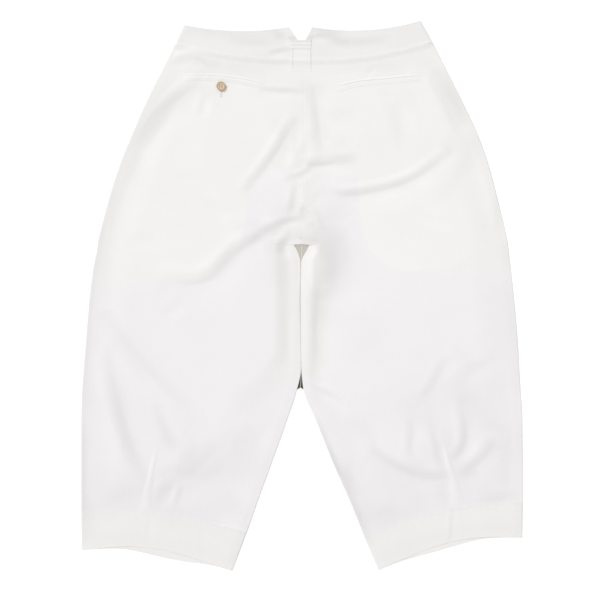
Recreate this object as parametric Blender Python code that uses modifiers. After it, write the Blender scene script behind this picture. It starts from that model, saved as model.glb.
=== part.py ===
"""Cropped balloon-leg trousers in white cotton, laid flat on their front with the back uppermost.

X runs across the garment, with the wearer's left side at -X. Y runs up it, from the hems to the waist.
Z is up, and the front panels lie on the surface at z = 0. Sizes are in millimetres until a mesh is made.

The front layer is flat. The back layer is a sheet over it: its height is one formula of x and y, which
adds the layers below, a soft lift between the seams and a table of folds. Every piece of the back is a
loft between sections of the garment, set on that height.
"""

import math
from collections import namedtuple

import bmesh
import bpy
import numpy as np
from mathutils import Vector
from mathutils.bvhtree import BVHTree

MM = 0.001

# Thicknesses
CLOTH = 1.0
WAISTBAND = 1.8
HEM_BAND = 1.6
POCKETING = 1.0
WELT = 1.0
LOOP = 1.3
TUCK = 1.0

# Clearances between pieces, and how far around a point a piece that lies on others clears them
SEAM = 0.4
LAY = 0.3
CLEAR_AROUND = 4
TUCK_CLEARS_BAND = 2.2

# How far the back layer lifts off the front layer, at heights up the garment. Beside the inseam it stays
# down over a flat strip and then rises over a slope.
Loft = namedtuple("Loft", "y lift left_strip left_slope right_strip right_slope")

LOFTS = (
    Loft(-412, 0.6, 2, 70, 2, 60),
    Loft(-328, 1.0, 2, 80, 2, 60),
    Loft(-245, 5.2, 3, 110, 3, 70),
    Loft(-160, 4.6, 4, 100, 3, 60),
    Loft(-120, 4.7, 7, 60, 2, 40),
    Loft(-80, 4.9, 12, 27, 2, 18),
    Loft(50, 4.9, 11, 27, 2, 17),
    Loft(90, 4.8, 4, 20, 2, 16),
    Loft(240, 4.4, 0, 9, 0, 9),
    Loft(340, 3.0, 0, 9, 0, 9),
    Loft(412, 2.0, 0, 9, 0, 9),
)
OUTER_SLOPE = 62
FOLD_FADE = 14
ABOVE_CROTCH = 1.2
SOFTEST = 0.5

# The cells of the back panels, and the narrowest fold that they can carry
ACROSS_BACK = 26
ROW_STEP = 14.5
NARROWEST_FOLD = 10

# One row for each section, from the side seam (outer) to the centre or the inseam (inner). A section
# sinks towards the hems by its bow halfway along.
Section = namedtuple("Section", "outer_x outer_y inner_x inner_y bow")

LEFT_SIDE = {
    "waist top": Section(-178, 405, -0.2, 401.3, 7.8),
    "waist seam": Section(-191.5, 375, -0.2, 351, 7.4),
    "pocket": Section(-214, 330, -0.2, 325, 3),
    "high hip": Section(-236, 285, -0.2, 285, 0),
    "hip": Section(-255.5, 240, -0.2, 240, 0),
    "seat": Section(-273.5, 195, -0.2, 195, 0),
    "low seat": Section(-288, 150, -0.2, 150, 0),
    "rise": Section(-300, 105, -0.2, 105, 0),
    "crotch": Section(-304.5, 87, -0.4, 75.8, 0),
    "crotch corner": Section(-306, 80, -12.2, 75, 0),
    "crotch side": Section(-307.5, 68, -8.0, 68, 0),
    "inseam": Section(-311.5, 49, -2.6, 49, 0),
    "thigh": Section(-319, -8, -3.4, -8, 0),
    "mid thigh": Section(-324.5, -75, -2.2, -75, 0),
    "low thigh": Section(-327.5, -112, -1.8, -112, 0),
    "knee": Section(-329.8, -142, -7.6, -142, 0),
    "calf": Section(-331, -188, -22.5, -188, 0),
    "low calf": Section(-331, -255, -46.5, -255, 0),
    "tuck": Section(-331, -293, -64, -303, -3),
    "hem seam": Section(-331, -326, -83, -357, -10.5),
    "hem edge": Section(-330.5, -382.5, -104.5, -414, -14),
}
RIGHT_SIDE = {
    "waist top": Section(178, 411, 0.2, 401.3, 9.6),
    "waist seam": Section(196, 378.5, 0.2, 351, 9.5),
    "pocket": Section(220.5, 330, 0.2, 325, 4),
    "high hip": Section(243, 285, 0.2, 285, 0),
    "hip": Section(264, 240, 0.2, 240, 0),
    "seat": Section(280, 195, 0.2, 195, 0),
    "low seat": Section(292, 150, 0.2, 150, 0),
    "rise": Section(303, 105, 0.2, 105, 0),
    "crotch": Section(307, 87, 0.4, 75.8, 0),
    "crotch corner": Section(308.5, 79, 10.8, 75, 0),
    "crotch side": Section(310, 67.5, 7.2, 67.5, 0),
    "inseam": Section(312, 49, -1.2, 49, 0),
    "thigh": Section(318.4, -8, -2.0, -8, 0),
    "mid thigh": Section(324, -75, -1.4, -75, 0),
    "low thigh": Section(326, -112, -0.6, -112, 0),
    "knee": Section(327.8, -142, 2.2, -142, 0),
    "calf": Section(330.5, -188, 21, -188, 0),
    "low calf": Section(331, -255, 48, -255, 0),
    "tuck": Section(331, -285, 71, -307, -4),
    "hem seam": Section(331, -311, 94, -364, -13.5),
    "hem edge": Section(330.5, -364, 114.5, -413, -15.5),
}

# The front is cut lower at the waist, its hem shows a little beyond the back's, and its inseams lie side by
# side down to where they part.
FRONT_DIP = 33
FRONT_SEAM_DIP = 26
FRONT_HEM_SAG = {-1: 8.2, 1: 5.6}
SAG_START = 0.2
FRONTS_PART = -140

# The notch at the top of the waistband, at the centre back
NOTCH_HALF_WIDTH = {-1: 19.5, 1: 15.5}
NOTCH_DEPTH = 28.3

# One row for each fold: a smooth curve through four places, where the left wall of a trough is steepest,
# or along the crest of a ridge if the depth is negative. It leans where its left side, on the way from
# start to end, is steeper and has a higher crest, and it runs out to nothing at both ends.
Fold = namedtuple("Fold", "start near far end width depth lean")

FOLDS = {
    "left hip": Fold((-302, 168), (-240, 238), (-196, 287), (-148, 323), 8, 2.6, 0.8),
    "left waist": Fold((-212, 338), (-184, 351), (-156, 353), (-130, 334), 6, 3.0, 0.7),
    "left seat": Fold((-99, 148), (-60, 195), (-37, 230), (-9, 274), 6.5, 2.5, 0.8),
    "left bag": Fold((-218, 27), (-146, 22), (-84, 80), (8, 115), 9, 2.6, 0.8),
    "left inseam": Fold((-15, -100), (-15, -40), (-14, 20), (-14, 64), 4, -0.8, 0.0),
    "left thigh": Fold((-295, -16), (-258, -72), (-213, -130), (-168, -175), 8, 2.6, 0.3),
    "left knee": Fold((-217, -290), (-251, -238), (-278, -150), (-292, -66), 10, 3.4, 0.6),
    "left calf": Fold((-222, -295), (-184, -277), (-151, -247), (-115, -208), 16, 2.3, 0.7),
    "centre ridge": Fold((-28, 168), (-18, 195), (-3, 225), (13, 257), 7, -1.2, 0.0),
    "centre back": Fold((31, 196), (25, 240), (20, 280), (14, 318), 7, 2.5, 0.7),
    "right crotch": Fold((-8, 198), (18, 195), (50, 199), (92, 202), 7, 2.0, 0.7),
    "right seat": Fold((28, 168), (66, 150), (160, 171), (232, 223), 6, 2.5, 0.8),
    "right hip": Fold((246, 238), (224, 285), (209, 310), (189, 338), 10, 3.2, 0.6),
    "right groin": Fold((38, -30), (45, 30), (45, 78), (36, 126), 28, 7.0, 0.85),
    "right inseam": Fold((22, -126), (17, -70), (19, -20), (28, 50), 12, 3.6, 0.7),
    "right thigh": Fold((177, -157), (192, -139), (207, -112), (217, -90), 6, 1.2, 0.6),
    "right knee": Fold((222, -252), (241, -228), (244, -200), (235, -151), 6.5, 2.3, 0.6),
    "right inner calf": Fold((105, -226), (136, -252), (177, -271), (234, -275), 8, 3.0, 0.6),
    "right outer calf": Fold((231, -271), (252, -259), (273, -240), (292, -210), 8, 2.2, 0.7),
    "right shin": Fold((160, -247), (162, -225), (163, -202), (160, -180), 6, 1.1, 0.5),
    "left band": Fold((-151, 395), (-124, 390), (-85, 381), (-52, 376), 7, 0.9, 0.3),
    "right band": Fold((34, 385), (66, 378), (98, 379), (132, 384), 6, 1.1, 0.4),
}

# The slits of the two back pockets, through four places, and their lips
SLITS = {
    "left": ((-177, 328.5), (-133.5, 328.2), (-88.5, 322.8), (-45, 312.8)),
    "right": ((51, 312), (87, 319.5), (132, 324), (178.5, 328.5)),
}
UPPER_LIP = 4.0
LOWER_LIP = 7.0

# The hanging bags of the side pockets: a rounded shape that the side seam cuts off
Bag = namedtuple("Bag", "centre_x centre_y half_width half_length squareness")
BAGS = {
    "left": Bag(-179, 160, 95, 138, 2.8),
    "right": Bag(179, 160, 95, 124, 2.8),
}
BAG_TOP = 330
BAG_INSET = 9
BAG_MARGIN = 0.14

# The pointed tucks above the hems: one row for each height, with the left and right edges there
Tuck = namedtuple("Tuck", "y left right")
TUCKS = {
    "left": (
        Tuck(-230, -218.5, -216),
        Tuck(-252, -226, -222),
        Tuck(-275, -230.5, -225.5),
        Tuck(-300, -240, -225),
        Tuck(-325, -247, -225),
    ),
    "right": (
        Tuck(-220, 208.5, 211),
        Tuck(-245, 211.5, 217),
        Tuck(-262, 216.5, 224),
        Tuck(-280, 219, 231),
        Tuck(-300, 219, 237),
        Tuck(-325, 219.5, 242.5),
    ),
}

# The wide loop over the notch
LOOP_WIDTH = 31.5
LOOP_TOP = 381.5
LOOP_FOOT = 334.5
LOOP_ARCH = 0.7

# The fly shield, inside the front on its centre line
FLY_TOP = 321
FLY_FOOT = 168
FLY_HALF_WIDTH = 19
FLY_ROUND = 34

# The button of the left pocket
BUTTON_AT = (-121.2, 312.3)
BUTTON_RADIUS = 6.6
BUTTON_THICKNESS = 2.8
BUTTON_RIM = 1.5
BUTTON_DISH = 0.8
BUTTON_HOLE_RADIUS = 0.9
BUTTON_HOLE_SPACING = 2.8
BUTTON_STEPS = 32


# Curves and ramps


def through(at, knots, values):
    """A smooth curve through the values at the knots, which never overshoots them (a monotone cubic)."""
    order = np.argsort(knots)
    knots = np.asarray(knots, float)[order]
    values = np.asarray(values, float)[order]
    gap = np.diff(knots)
    slope = np.diff(values) / gap
    tangent = np.concatenate([slope[:1], np.zeros(len(knots) - 2), slope[-1:]])
    for i in range(1, len(knots) - 1):
        before, after = slope[i - 1], slope[i]
        if before * after > 0:
            near, far = 2 * gap[i] + gap[i - 1], gap[i] + 2 * gap[i - 1]
            tangent[i] = (near + far) / (near / before + far / after)
    i = np.clip(np.searchsorted(knots, at) - 1, 0, len(gap) - 1)
    t = np.clip((at - knots[i]) / gap[i], 0, 1)
    start = (1 + 2 * t) * (1 - t) ** 2 * values[i] + t * (1 - t) ** 2 * gap[i] * tangent[i]
    end = t**2 * (3 - 2 * t) * values[i + 1] + t**2 * (t - 1) * gap[i] * tangent[i + 1]
    return start + end


def ramp(share):
    """0 up to 0 and 1 from 1 on, with a smooth rise between."""
    share = np.clip(share, 0, 1)
    return share**2 * (3 - 2 * share)


def curve_through(places, count):
    """Points along a smooth curve through a few places, each as far along as its share of the steps."""
    places = np.asarray(places, float)
    at = np.linspace(0, len(places) - 1, count)
    before = 2 * places[0] - places[1]
    after = 2 * places[-1] - places[-2]
    held = np.vstack([before, places, after])
    i = np.minimum(at.astype(int), len(places) - 2)
    t = (at - i)[:, None]
    a, b, c, d = (held[i + k] for k in range(4))
    return 0.5 * (2 * b + (c - a) * t + (2 * a - 5 * b + 4 * c - d) * t**2 + (3 * b - a - 3 * c + d) * t**3)


# The outline of the garment


def side_of(x):
    """-1 on the wearer's left, 1 on the right."""
    return np.where(np.asarray(x) < 0, -1, 1)


def column(side, name, at_name, at):
    """One column of a side's sections, read at other places along another column."""
    rows = (LEFT_SIDE if side < 0 else RIGHT_SIDE).values()
    return through(at, [getattr(row, at_name) for row in rows], [getattr(row, name) for row in rows])


def outer_edge(x, y):
    """The side seam's x at this height, on the side that x is on."""
    left = column(-1, "outer_x", "outer_y", y)
    right = column(1, "outer_x", "outer_y", y)
    return np.where(side_of(x) < 0, left, right)


def inner_edge(x, y):
    """The inseam's x at this height, on the side that x is on."""
    left = column(-1, "inner_x", "inner_y", y)
    right = column(1, "inner_x", "inner_y", y)
    return np.where(side_of(x) < 0, left, right)


def section_y(section, x):
    """The y of a section at this x."""
    share = np.clip((x - section.outer_x) / (section.inner_x - section.outer_x), 0, 1)
    straight = section.outer_y + (section.inner_y - section.outer_y) * share
    return straight - section.bow * 4 * share * (1 - share)


def seam_height(name, x):
    """The y of a named section at this x, on the side that x is on."""
    return np.where(side_of(x) < 0, section_y(LEFT_SIDE[name], x), section_y(RIGHT_SIDE[name], x))


# The height of the back layer


def distance_to(path, x, y):
    """The distance of each place from a path of straight steps, below 0 on its right, and how far along the
    path its nearest point is."""
    nearest = np.full(x.shape, np.inf)
    along = np.zeros(x.shape)
    steps = len(path) - 1
    for i, (start, end) in enumerate(zip(path, path[1:])):
        run = end - start
        dx, dy = x - start[0], y - start[1]
        t = np.clip((dx * run[0] + dy * run[1]) / (run @ run), 0, 1)
        away = np.hypot(dx - t * run[0], dy - t * run[1])
        closer = away < np.abs(nearest)
        nearest[closer] = np.copysign(away, run[0] * dy - run[1] * dx)[closer]
        along[closer] = (i + t[closer]) / steps
    return nearest, along


def fold_relief(fold, x, y):
    """How far one fold moves the cloth, times a fade along it.

    Across it, the move is a bell-shaped trough with a low crest on each side. A lean makes the left side
    steeper with a higher crest, and the right side wider with a lower one. A trough is shifted right, which
    puts the steepest place of its left wall on the path. No fold is narrower than the grid can carry.
    """
    path = curve_through([fold.start, fold.near, fold.far, fold.end], 17)
    away, along = distance_to(path, x, y)
    width = max(fold.width, NARROWEST_FOLD)
    across = away / width + (0.7 * (1 - 0.35 * fold.lean) if fold.depth > 0 else 0)
    lean = fold.lean * np.sign(across)
    trough = np.exp(-((across / (1 - np.where(lean > 0, 0.35, 2) * lean)) ** 2))
    crest = 0.3 * (1 + lean) * np.exp(-((np.abs(across) - 1.9) ** 2) / 0.6)
    return -fold.depth * np.sin(math.pi * along) ** 0.8 * (trough - crest)


def bag_reach(bag, x, y):
    """1 on the edge of a pocket bag, less inside it and more outside."""
    across = np.abs((x - bag.centre_x) / bag.half_width) ** bag.squareness
    down = np.clip((bag.centre_y - y) / bag.half_length, 0, None) ** bag.squareness
    return (across + down) ** (1 / bag.squareness)


def extra_layers(x, y):
    """How much higher than one layer of leg cloth the pieces under the back reach: bands and pocket bags."""
    band_edge = seam_height("waist seam", x) - FRONT_SEAM_DIP - 6
    band = (WAISTBAND - CLOTH) * ramp((y - band_edge) / 22 + 1)
    hem = (HEM_BAND - CLOTH) * ramp((seam_height("hem seam", x) + 4 - y) / 22 + 1)
    bags = sum(ramp((1 + 2 * BAG_MARGIN - bag_reach(bag, x, y)) / BAG_MARGIN) for bag in BAGS.values())
    pocketing = (POCKETING + LAY) * bags * ramp((BAG_TOP + 24 - y) / 16)
    return np.maximum(np.maximum(band, hem), pocketing)


def loft_column(name, y):
    """One column of the lofts, read at these heights."""
    return through(y, [row.y for row in LOFTS], [getattr(row, name) for row in LOFTS])


def larger(a, b):
    """The larger of two heights, rounded where they cross."""
    return 0.5 * (a + b + np.sqrt((a - b) ** 2 + SOFTEST**2))


def back_underside(x, y):
    """The height of the underside of the back layer: the lift and the folds, over the layers below."""
    outer = np.abs(x - outer_edge(x, y))
    corner = LEFT_SIDE["crotch corner"]
    up = (y - corner.inner_y) * ABOVE_CROTCH
    from_corner = np.hypot(np.clip(np.abs(x) - abs(corner.inner_x), 0, None), up)
    inner = np.where(up > 0, from_corner, np.abs(x - inner_edge(x, y)))
    strip = np.where(side_of(x) < 0, loft_column("left_strip", y), loft_column("right_strip", y))
    slope = np.where(side_of(x) < 0, loft_column("left_slope", y), loft_column("right_slope", y))
    lift = loft_column("lift", y) * ramp(outer / OUTER_SLOPE) * ramp((inner - strip) / slope)
    folds = sum(fold_relief(fold, x, y) for fold in FOLDS.values())
    loft = lift + ramp(outer / FOLD_FADE) * ramp(inner / FOLD_FADE) * folds
    return CLOTH + LAY + larger(extra_layers(x, y), loft)


def back_outside(x, y):
    """The height of the outer face of the back panels."""
    return back_underside(x, y) + CLOTH


# Plans: grids of x and y, with a row for each section and a column for each share of its length


def plan_between(side, first, last, across, row_step=ROW_STEP, first_gap=0.0, last_gap=0.0):
    """The plan of a panel from one named section to another."""
    table = LEFT_SIDE if side < 0 else RIGHT_SIDE
    names = list(table)
    heights = [table[name].outer_y for name in names[names.index(first) : names.index(last) + 1]]
    stops = [heights[:1]]
    for above, below in zip(heights, heights[1:]):
        steps = max(1, round((above - below) / row_step))
        stops.append(np.linspace(above, below, steps + 1)[1:])
    outer_y = np.concatenate(stops)
    outer_x, inner_x, inner_y, bow = (
        column(side, name, "outer_y", outer_y) for name in ("outer_x", "inner_x", "inner_y", "bow")
    )
    share = np.linspace(0, 1, across + 1)
    x = outer_x[:, None] + (inner_x - outer_x)[:, None] * share
    y = outer_y[:, None] + (inner_y - outer_y)[:, None] * share
    y -= (bow[:, None]) * 4 * share * (1 - share)
    y[0] -= first_gap
    y[-1] += last_gap
    return x, y


def loft_plan(first, last, rows):
    """The plan of a piece whose rows run straight from one edge to another, each edge given as (x, y)."""
    share = np.linspace(0, 1, rows + 1)[:, None]
    return tuple(a + (b - a) * share for a, b in zip(first, last))


def waistband_top(side, across):
    """The top edge of a half of the back waistband, with its half of the notch."""
    section = (LEFT_SIDE if side < 0 else RIGHT_SIDE)["waist top"]
    to_notch = side * NOTCH_HALF_WIDTH[side]
    share = np.linspace(0, 1, across - 1)
    x = section.outer_x + (to_notch - section.outer_x) * share
    y = section_y(section._replace(inner_x=to_notch), x)
    deepest = (section.inner_x, section.inner_y - NOTCH_DEPTH)
    middle = ((to_notch + deepest[0]) / 2, section.inner_y - NOTCH_DEPTH / 2)
    return np.append(x, [middle[0], deepest[0]]), np.append(y, [middle[1], deepest[1]])


def waistband_foot(side, top_x, gap):
    """The lower edge of a half of the back waistband, column by column below its top edge."""
    section = (LEFT_SIDE if side < 0 else RIGHT_SIDE)["waist seam"]
    share = (top_x - top_x[0]) / (top_x[-1] - top_x[0])
    x = section.outer_x + (section.inner_x - section.outer_x) * share
    return x, section_y(section, x) + gap


# Mesh makers


def material(name, colour, roughness):
    """A plain material with this colour and roughness."""
    made = bpy.data.materials.new(name)
    made.use_nodes = True
    shader = made.node_tree.nodes["Principled BSDF"]
    shader.inputs["Base Color"].default_value = (*colour, 1)
    shader.inputs["Roughness"].default_value = roughness
    shader.inputs["Metallic"].default_value = 0
    return made


def put(name, mesh, finish, collection):
    """A named object with this mesh and material, in the collection."""
    mesh.materials.append(finish)
    mesh.shade_smooth()
    mesh.set_sharp_from_angle(angle=math.radians(40))
    made = bpy.data.objects.new(name, mesh)
    collection.objects.link(made)
    return made


def sheet(name, x, y, outside, thickness, finish, collection):
    """A cloth wall: a grid laid on the plan with its outer face at the given heights, thickened downwards."""
    rows, columns = x.shape
    shell = bmesh.new()
    bmesh.ops.create_grid(shell, x_segments=columns - 1, y_segments=rows - 1, size=1)
    points = np.stack([x, y, np.broadcast_to(outside, x.shape)], axis=-1).reshape(-1, 3) * MM
    for vertex, point in zip(shell.verts, points):
        vertex.co = point
    shell.normal_update()
    if sum(face.normal.z for face in shell.faces) < 0:
        bmesh.ops.reverse_faces(shell, faces=shell.faces)
    mesh = bpy.data.meshes.new(name)
    shell.to_mesh(mesh)
    shell.free()
    made = put(name, mesh, finish, collection)
    wall = made.modifiers.new("wall", "SOLIDIFY")
    wall.thickness = thickness * MM
    wall.offset = -1
    return made


def top_under(carriers, x, y):
    """The highest point of the carriers' outer faces under each place, or within a little of it."""
    seen_by = bpy.context.evaluated_depsgraph_get()
    trees = [BVHTree.FromObject(carrier, seen_by) for carrier in carriers]
    steps = (-CLEAR_AROUND, 0, CLEAR_AROUND)
    height = np.zeros(x.shape)
    for at in np.ndindex(x.shape):
        places = [((x[at] + dx) * MM, (y[at] + dy) * MM, 1) for dx in steps for dy in steps]
        hits = [tree.ray_cast(Vector(place), Vector((0, 0, -1)))[0] for tree in trees for place in places]
        height[at] = max((hit.z / MM for hit in hits if hit), default=0)
    return height


# The pieces


def add_front(side, name, finish, collection):
    """The flat front of one leg, its half of the front waistband and the front of its hem band."""
    x, y = plan_between(side, "waist seam", "hem seam", 6, 40, first_gap=SEAM / 2, last_gap=SEAM / 2)
    share = np.linspace(0, 1, x.shape[1])
    y[0] -= FRONT_SEAM_DIP * share**2
    middle = (column(-1, "inner_x", "inner_y", y) + column(1, "inner_x", "inner_y", y)) / 2
    together = (y < 100) & (y > FRONTS_PART) & (share > 0.99)
    x[together] = middle[together] + side * SEAM / 2
    sheet(f"front_{name}", x, y, CLOTH, CLOTH, finish, collection)

    table = LEFT_SIDE if side < 0 else RIGHT_SIDE
    share = np.linspace(0, 1, 9)
    edges = []
    for section, dip, gap in (("waist top", FRONT_DIP, 0), ("waist seam", FRONT_SEAM_DIP, SEAM / 2)):
        row = table[section]
        edge_x = row.outer_x + (row.inner_x - row.outer_x) * share
        edges.append((edge_x, section_y(row, edge_x) - dip * share**2 + gap))
    x, y = loft_plan(*edges, rows=2)
    sheet(f"waistband_front_{name}", x, y, WAISTBAND, WAISTBAND, finish, collection)

    x, y = plan_between(side, "hem seam", "hem edge", 12, 60, first_gap=SEAM / 2)
    share = np.linspace(0, 1, x.shape[1])
    inward = np.clip((share - SAG_START) / (1 - SAG_START), 0, 1)
    y[-1] -= FRONT_HEM_SAG[side] * np.sin(math.pi * inward) ** 2
    sheet(f"hem_band_front_{name}", x, y, HEM_BAND, HEM_BAND, finish, collection)


def add_back(side, name, finish, collection):
    """The back of one leg, its half of the back waistband and the back of its hem band."""
    x, y = plan_between(
        side, "waist seam", "hem seam", ACROSS_BACK, first_gap=SEAM / 2, last_gap=SEAM / 2
    )
    panel = sheet(f"back_{name}", x, y, back_outside(x, y), CLOTH, finish, collection)

    top = waistband_top(side, 16)
    foot = waistband_foot(side, top[0], SEAM / 2)
    x, y = loft_plan(top, foot, rows=4)
    outside = back_underside(x, y) + WAISTBAND
    band = sheet(f"waistband_back_{name}", x, y, outside, WAISTBAND, finish, collection)

    x, y = plan_between(side, "hem seam", "hem edge", 20, 18, first_gap=SEAM / 2)
    outside = back_underside(x, y) + HEM_BAND
    sheet(f"hem_band_back_{name}", x, y, outside, HEM_BAND, finish, collection)
    return panel, band


def add_tuck(name, panel, finish, collection):
    """The pointed tuck above a hem: a tapering fold of the back panel's own cloth, laid flat on it."""
    rows = TUCKS[name]
    foot_middle = np.array((rows[-1].left + rows[-1].right) / 2)
    foot_y = float(seam_height("hem seam", foot_middle)) + TUCK_CLEARS_BAND
    y = np.linspace(rows[0].y, foot_y, 12)[:, None]
    left, right = (
        through(y, [row.y for row in rows], [getattr(row, edge) for row in rows]) for edge in ("left", "right")
    )
    share = np.linspace(0, 1, 4)
    x = left + (right - left) * share
    y = y + 0 * share
    outside = top_under([panel], x, y) + LAY + TUCK
    sheet(f"hem_tuck_{name}", x, y, outside, TUCK, finish, collection)


def add_welts(name, panel, finish, collection):
    """The two lips of a back pocket, each side of its slit."""
    slit = curve_through(SLITS[name], 15)
    run = np.gradient(slit, axis=0)
    up = np.stack([-run[:, 1], run[:, 0]], axis=1) / np.hypot(*run.T)[:, None]
    lips = []
    for lip, near, far in (("upper", SEAM / 2, UPPER_LIP), ("lower", -SEAM / 2, -LOWER_LIP)):
        edges = [slit + up * reach for reach in (near, (near + far) / 2, far)]
        x, y = (np.stack([edge[:, k] for edge in edges]) for k in range(2))
        outside = top_under([panel], x, y) + LAY + WELT
        lips.append(sheet(f"welt_{name}_{lip}", x, y, outside, WELT, finish, collection))
    return lips


def add_bag(side, name, finish, collection):
    """The bag of a side pocket, flat on the front panel, with a round foot."""
    bag = BAGS[name]
    turn = np.linspace(0, math.pi / 2, 9)[:-1]
    foot = bag.centre_y - bag.half_length * np.sin(turn)
    y = np.concatenate([np.linspace(BAG_TOP, bag.centre_y, 6)[:-1], foot])
    down = np.clip((bag.centre_y - y) / bag.half_length, 0, 1) ** bag.squareness
    half_width = bag.half_width * (1 - down) ** (1 / bag.squareness)
    seam = np.abs(outer_edge(np.full(y.shape, float(side)), y)) - BAG_INSET
    outer_x = np.minimum(abs(bag.centre_x) + half_width, seam)
    inner_x = abs(bag.centre_x) - half_width
    share = np.linspace(0, 1, 5)
    x = side * (outer_x[:, None] + (inner_x - outer_x)[:, None] * share)
    y = y[:, None] + 0 * share
    sheet(f"pocket_bag_{name}", x, y, CLOTH + LAY + POCKETING, POCKETING, finish, collection)


def add_fly_shield(finish, collection):
    """The strip behind the front opening, flat on the front panels, with a rounded foot on one side."""
    y = np.linspace(FLY_TOP, FLY_FOOT, 10)[:, None]
    rounding = 1 - np.clip((FLY_FOOT + FLY_ROUND - y) / FLY_ROUND, 0, 1) ** 2
    width = FLY_HALF_WIDTH * (1 + 0.1 + 0.9 * np.sqrt(rounding))
    x = -FLY_HALF_WIDTH + width * np.linspace(0, 1, 4)
    sheet("fly_shield", x, y + 0 * x, CLOTH + LAY + CLOTH, CLOTH, finish, collection)


def add_loop(carriers, finish, collection):
    """The wide loop at the centre back: sewn across the notch at its top and to the seat at its foot."""
    share = np.linspace(0, 1, 13)[:, None]
    across = np.linspace(-0.5, 0.5, 7)
    x = LOOP_WIDTH * across + 0 * share
    y = LOOP_TOP + (LOOP_FOOT - LOOP_TOP) * share + 0 * across
    below = top_under(carriers, x, y).max(axis=1, keepdims=True)
    outside = below + LAY + LOOP + LOOP_ARCH * np.sin(math.pi * share) ** 2
    sheet("belt_loop", x, y, outside, LOOP, finish, collection)


def add_button(carriers, finish, collection, cutters):
    """A four-hole button with a raised rim, turned from its profile."""
    angle = np.linspace(0, 2 * math.pi, 9)
    around = top_under(
        carriers,
        BUTTON_AT[0] + BUTTON_RADIUS * np.cos(angle),
        BUTTON_AT[1] + BUTTON_RADIUS * np.sin(angle),
    )
    x, y = BUTTON_AT
    bottom = around.max() + LAY
    rim = BUTTON_RADIUS - BUTTON_RIM
    profile = (
        (0, BUTTON_THICKNESS - BUTTON_DISH),
        (rim - 1, BUTTON_THICKNESS - BUTTON_DISH),
        (rim, BUTTON_THICKNESS - 0.2),
        (BUTTON_RADIUS - 0.6, BUTTON_THICKNESS),
        (BUTTON_RADIUS, BUTTON_THICKNESS - 0.7),
        (BUTTON_RADIUS, 0.9),
        (BUTTON_RADIUS - 1.6, 0),
        (0, 0),
    )
    mesh = bpy.data.meshes.new("button")
    edges = [(i, i + 1) for i in range(len(profile) - 1)]
    mesh.from_pydata([(r * MM, 0, z * MM) for r, z in profile], edges, [])
    button = put("button", mesh, finish, collection)
    button.location = (x * MM, y * MM, bottom * MM)
    turn = button.modifiers.new("turn", "SCREW")
    turn.steps = turn.render_steps = BUTTON_STEPS
    turn.use_merge_vertices = True
    turn.merge_threshold = 0.00001
    turn.use_smooth_shade = True
    for number in range(4):
        angle = math.radians(45 + 90 * number)
        bpy.ops.mesh.primitive_cylinder_add(
            vertices=12, radius=BUTTON_HOLE_RADIUS * MM, depth=4 * BUTTON_THICKNESS * MM
        )
        cutter = bpy.context.object
        cutter.name = f"cutter_button_hole_{number + 1}"
        reach = BUTTON_HOLE_SPACING / 2 * math.sqrt(2)
        cutter.location = (
            (x + reach * math.cos(angle)) * MM,
            (y + reach * math.sin(angle)) * MM,
            bottom * MM,
        )
        cutter.hide_render = True
        cutter.display_type = "WIRE"
        for owner in cutter.users_collection:
            owner.objects.unlink(cutter)
        cutters.objects.link(cutter)
        hole = button.modifiers.new(f"hole {number + 1}", "BOOLEAN")
        hole.object = cutter
        hole.operation = "DIFFERENCE"


def main():
    for old in list(bpy.data.objects):
        bpy.data.objects.remove(old)
    trousers = bpy.data.collections.new("cropped_trousers")
    cutters = bpy.data.collections.new("cutters")
    for collection in (trousers, cutters):
        bpy.context.scene.collection.children.link(collection)
    cotton = material("white_cotton", (0.83, 0.83, 0.81), 0.88)
    trim = material("white_cotton_trim", (0.82, 0.82, 0.80), 0.85)
    pocketing = material("pocketing", (0.80, 0.80, 0.78), 0.9)
    horn = material("button_horn", (0.55, 0.38, 0.22), 0.45)
    carriers = []
    for side, name in ((-1, "left"), (1, "right")):
        add_front(side, name, cotton, trousers)
        panel, band = add_back(side, name, cotton, trousers)
        carriers += [panel, band]
        add_tuck(name, panel, cotton, trousers)
        lips = add_welts(name, panel, trim, trousers)
        if name == "left":
            add_button([panel, *lips], horn, trousers, cutters)
        add_bag(side, name, pocketing, trousers)
    add_fly_shield(cotton, trousers)
    add_loop(carriers, trim, trousers)


main()
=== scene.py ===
"""Cropped balloon-leg trousers in white cotton, laid flat on their front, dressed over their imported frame.

X runs across the garment, with the wearer's left side at -X. Y runs up it, from the hems to the waist.
Sizes in the tables are in millimetres. The outline and the lift follow the frame's own rules,
and the folds lie a little softer and wider, so each cloth shell lies on its solid. Finer creases are added.
"""

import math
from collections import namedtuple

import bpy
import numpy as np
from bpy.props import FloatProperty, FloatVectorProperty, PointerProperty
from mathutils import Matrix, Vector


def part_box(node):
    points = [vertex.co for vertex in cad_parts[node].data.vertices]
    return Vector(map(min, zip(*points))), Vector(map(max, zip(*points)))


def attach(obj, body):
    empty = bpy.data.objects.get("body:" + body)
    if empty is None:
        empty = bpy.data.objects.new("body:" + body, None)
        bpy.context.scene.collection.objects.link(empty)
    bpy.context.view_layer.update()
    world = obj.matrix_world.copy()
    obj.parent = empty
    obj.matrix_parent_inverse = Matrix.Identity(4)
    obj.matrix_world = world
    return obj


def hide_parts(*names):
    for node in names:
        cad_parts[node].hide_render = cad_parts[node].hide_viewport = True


bl_info = {
    "name": "Cropped Trousers, Laid Flat",
    "version": (1, 0, 0),
    "blender": (4, 5, 0),
    "location": "View3D > Sidebar > Trousers",
    "description": "Makes white cotton cropped trousers, laid flat with the back uppermost",
    "category": "Add Mesh",
}

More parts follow.
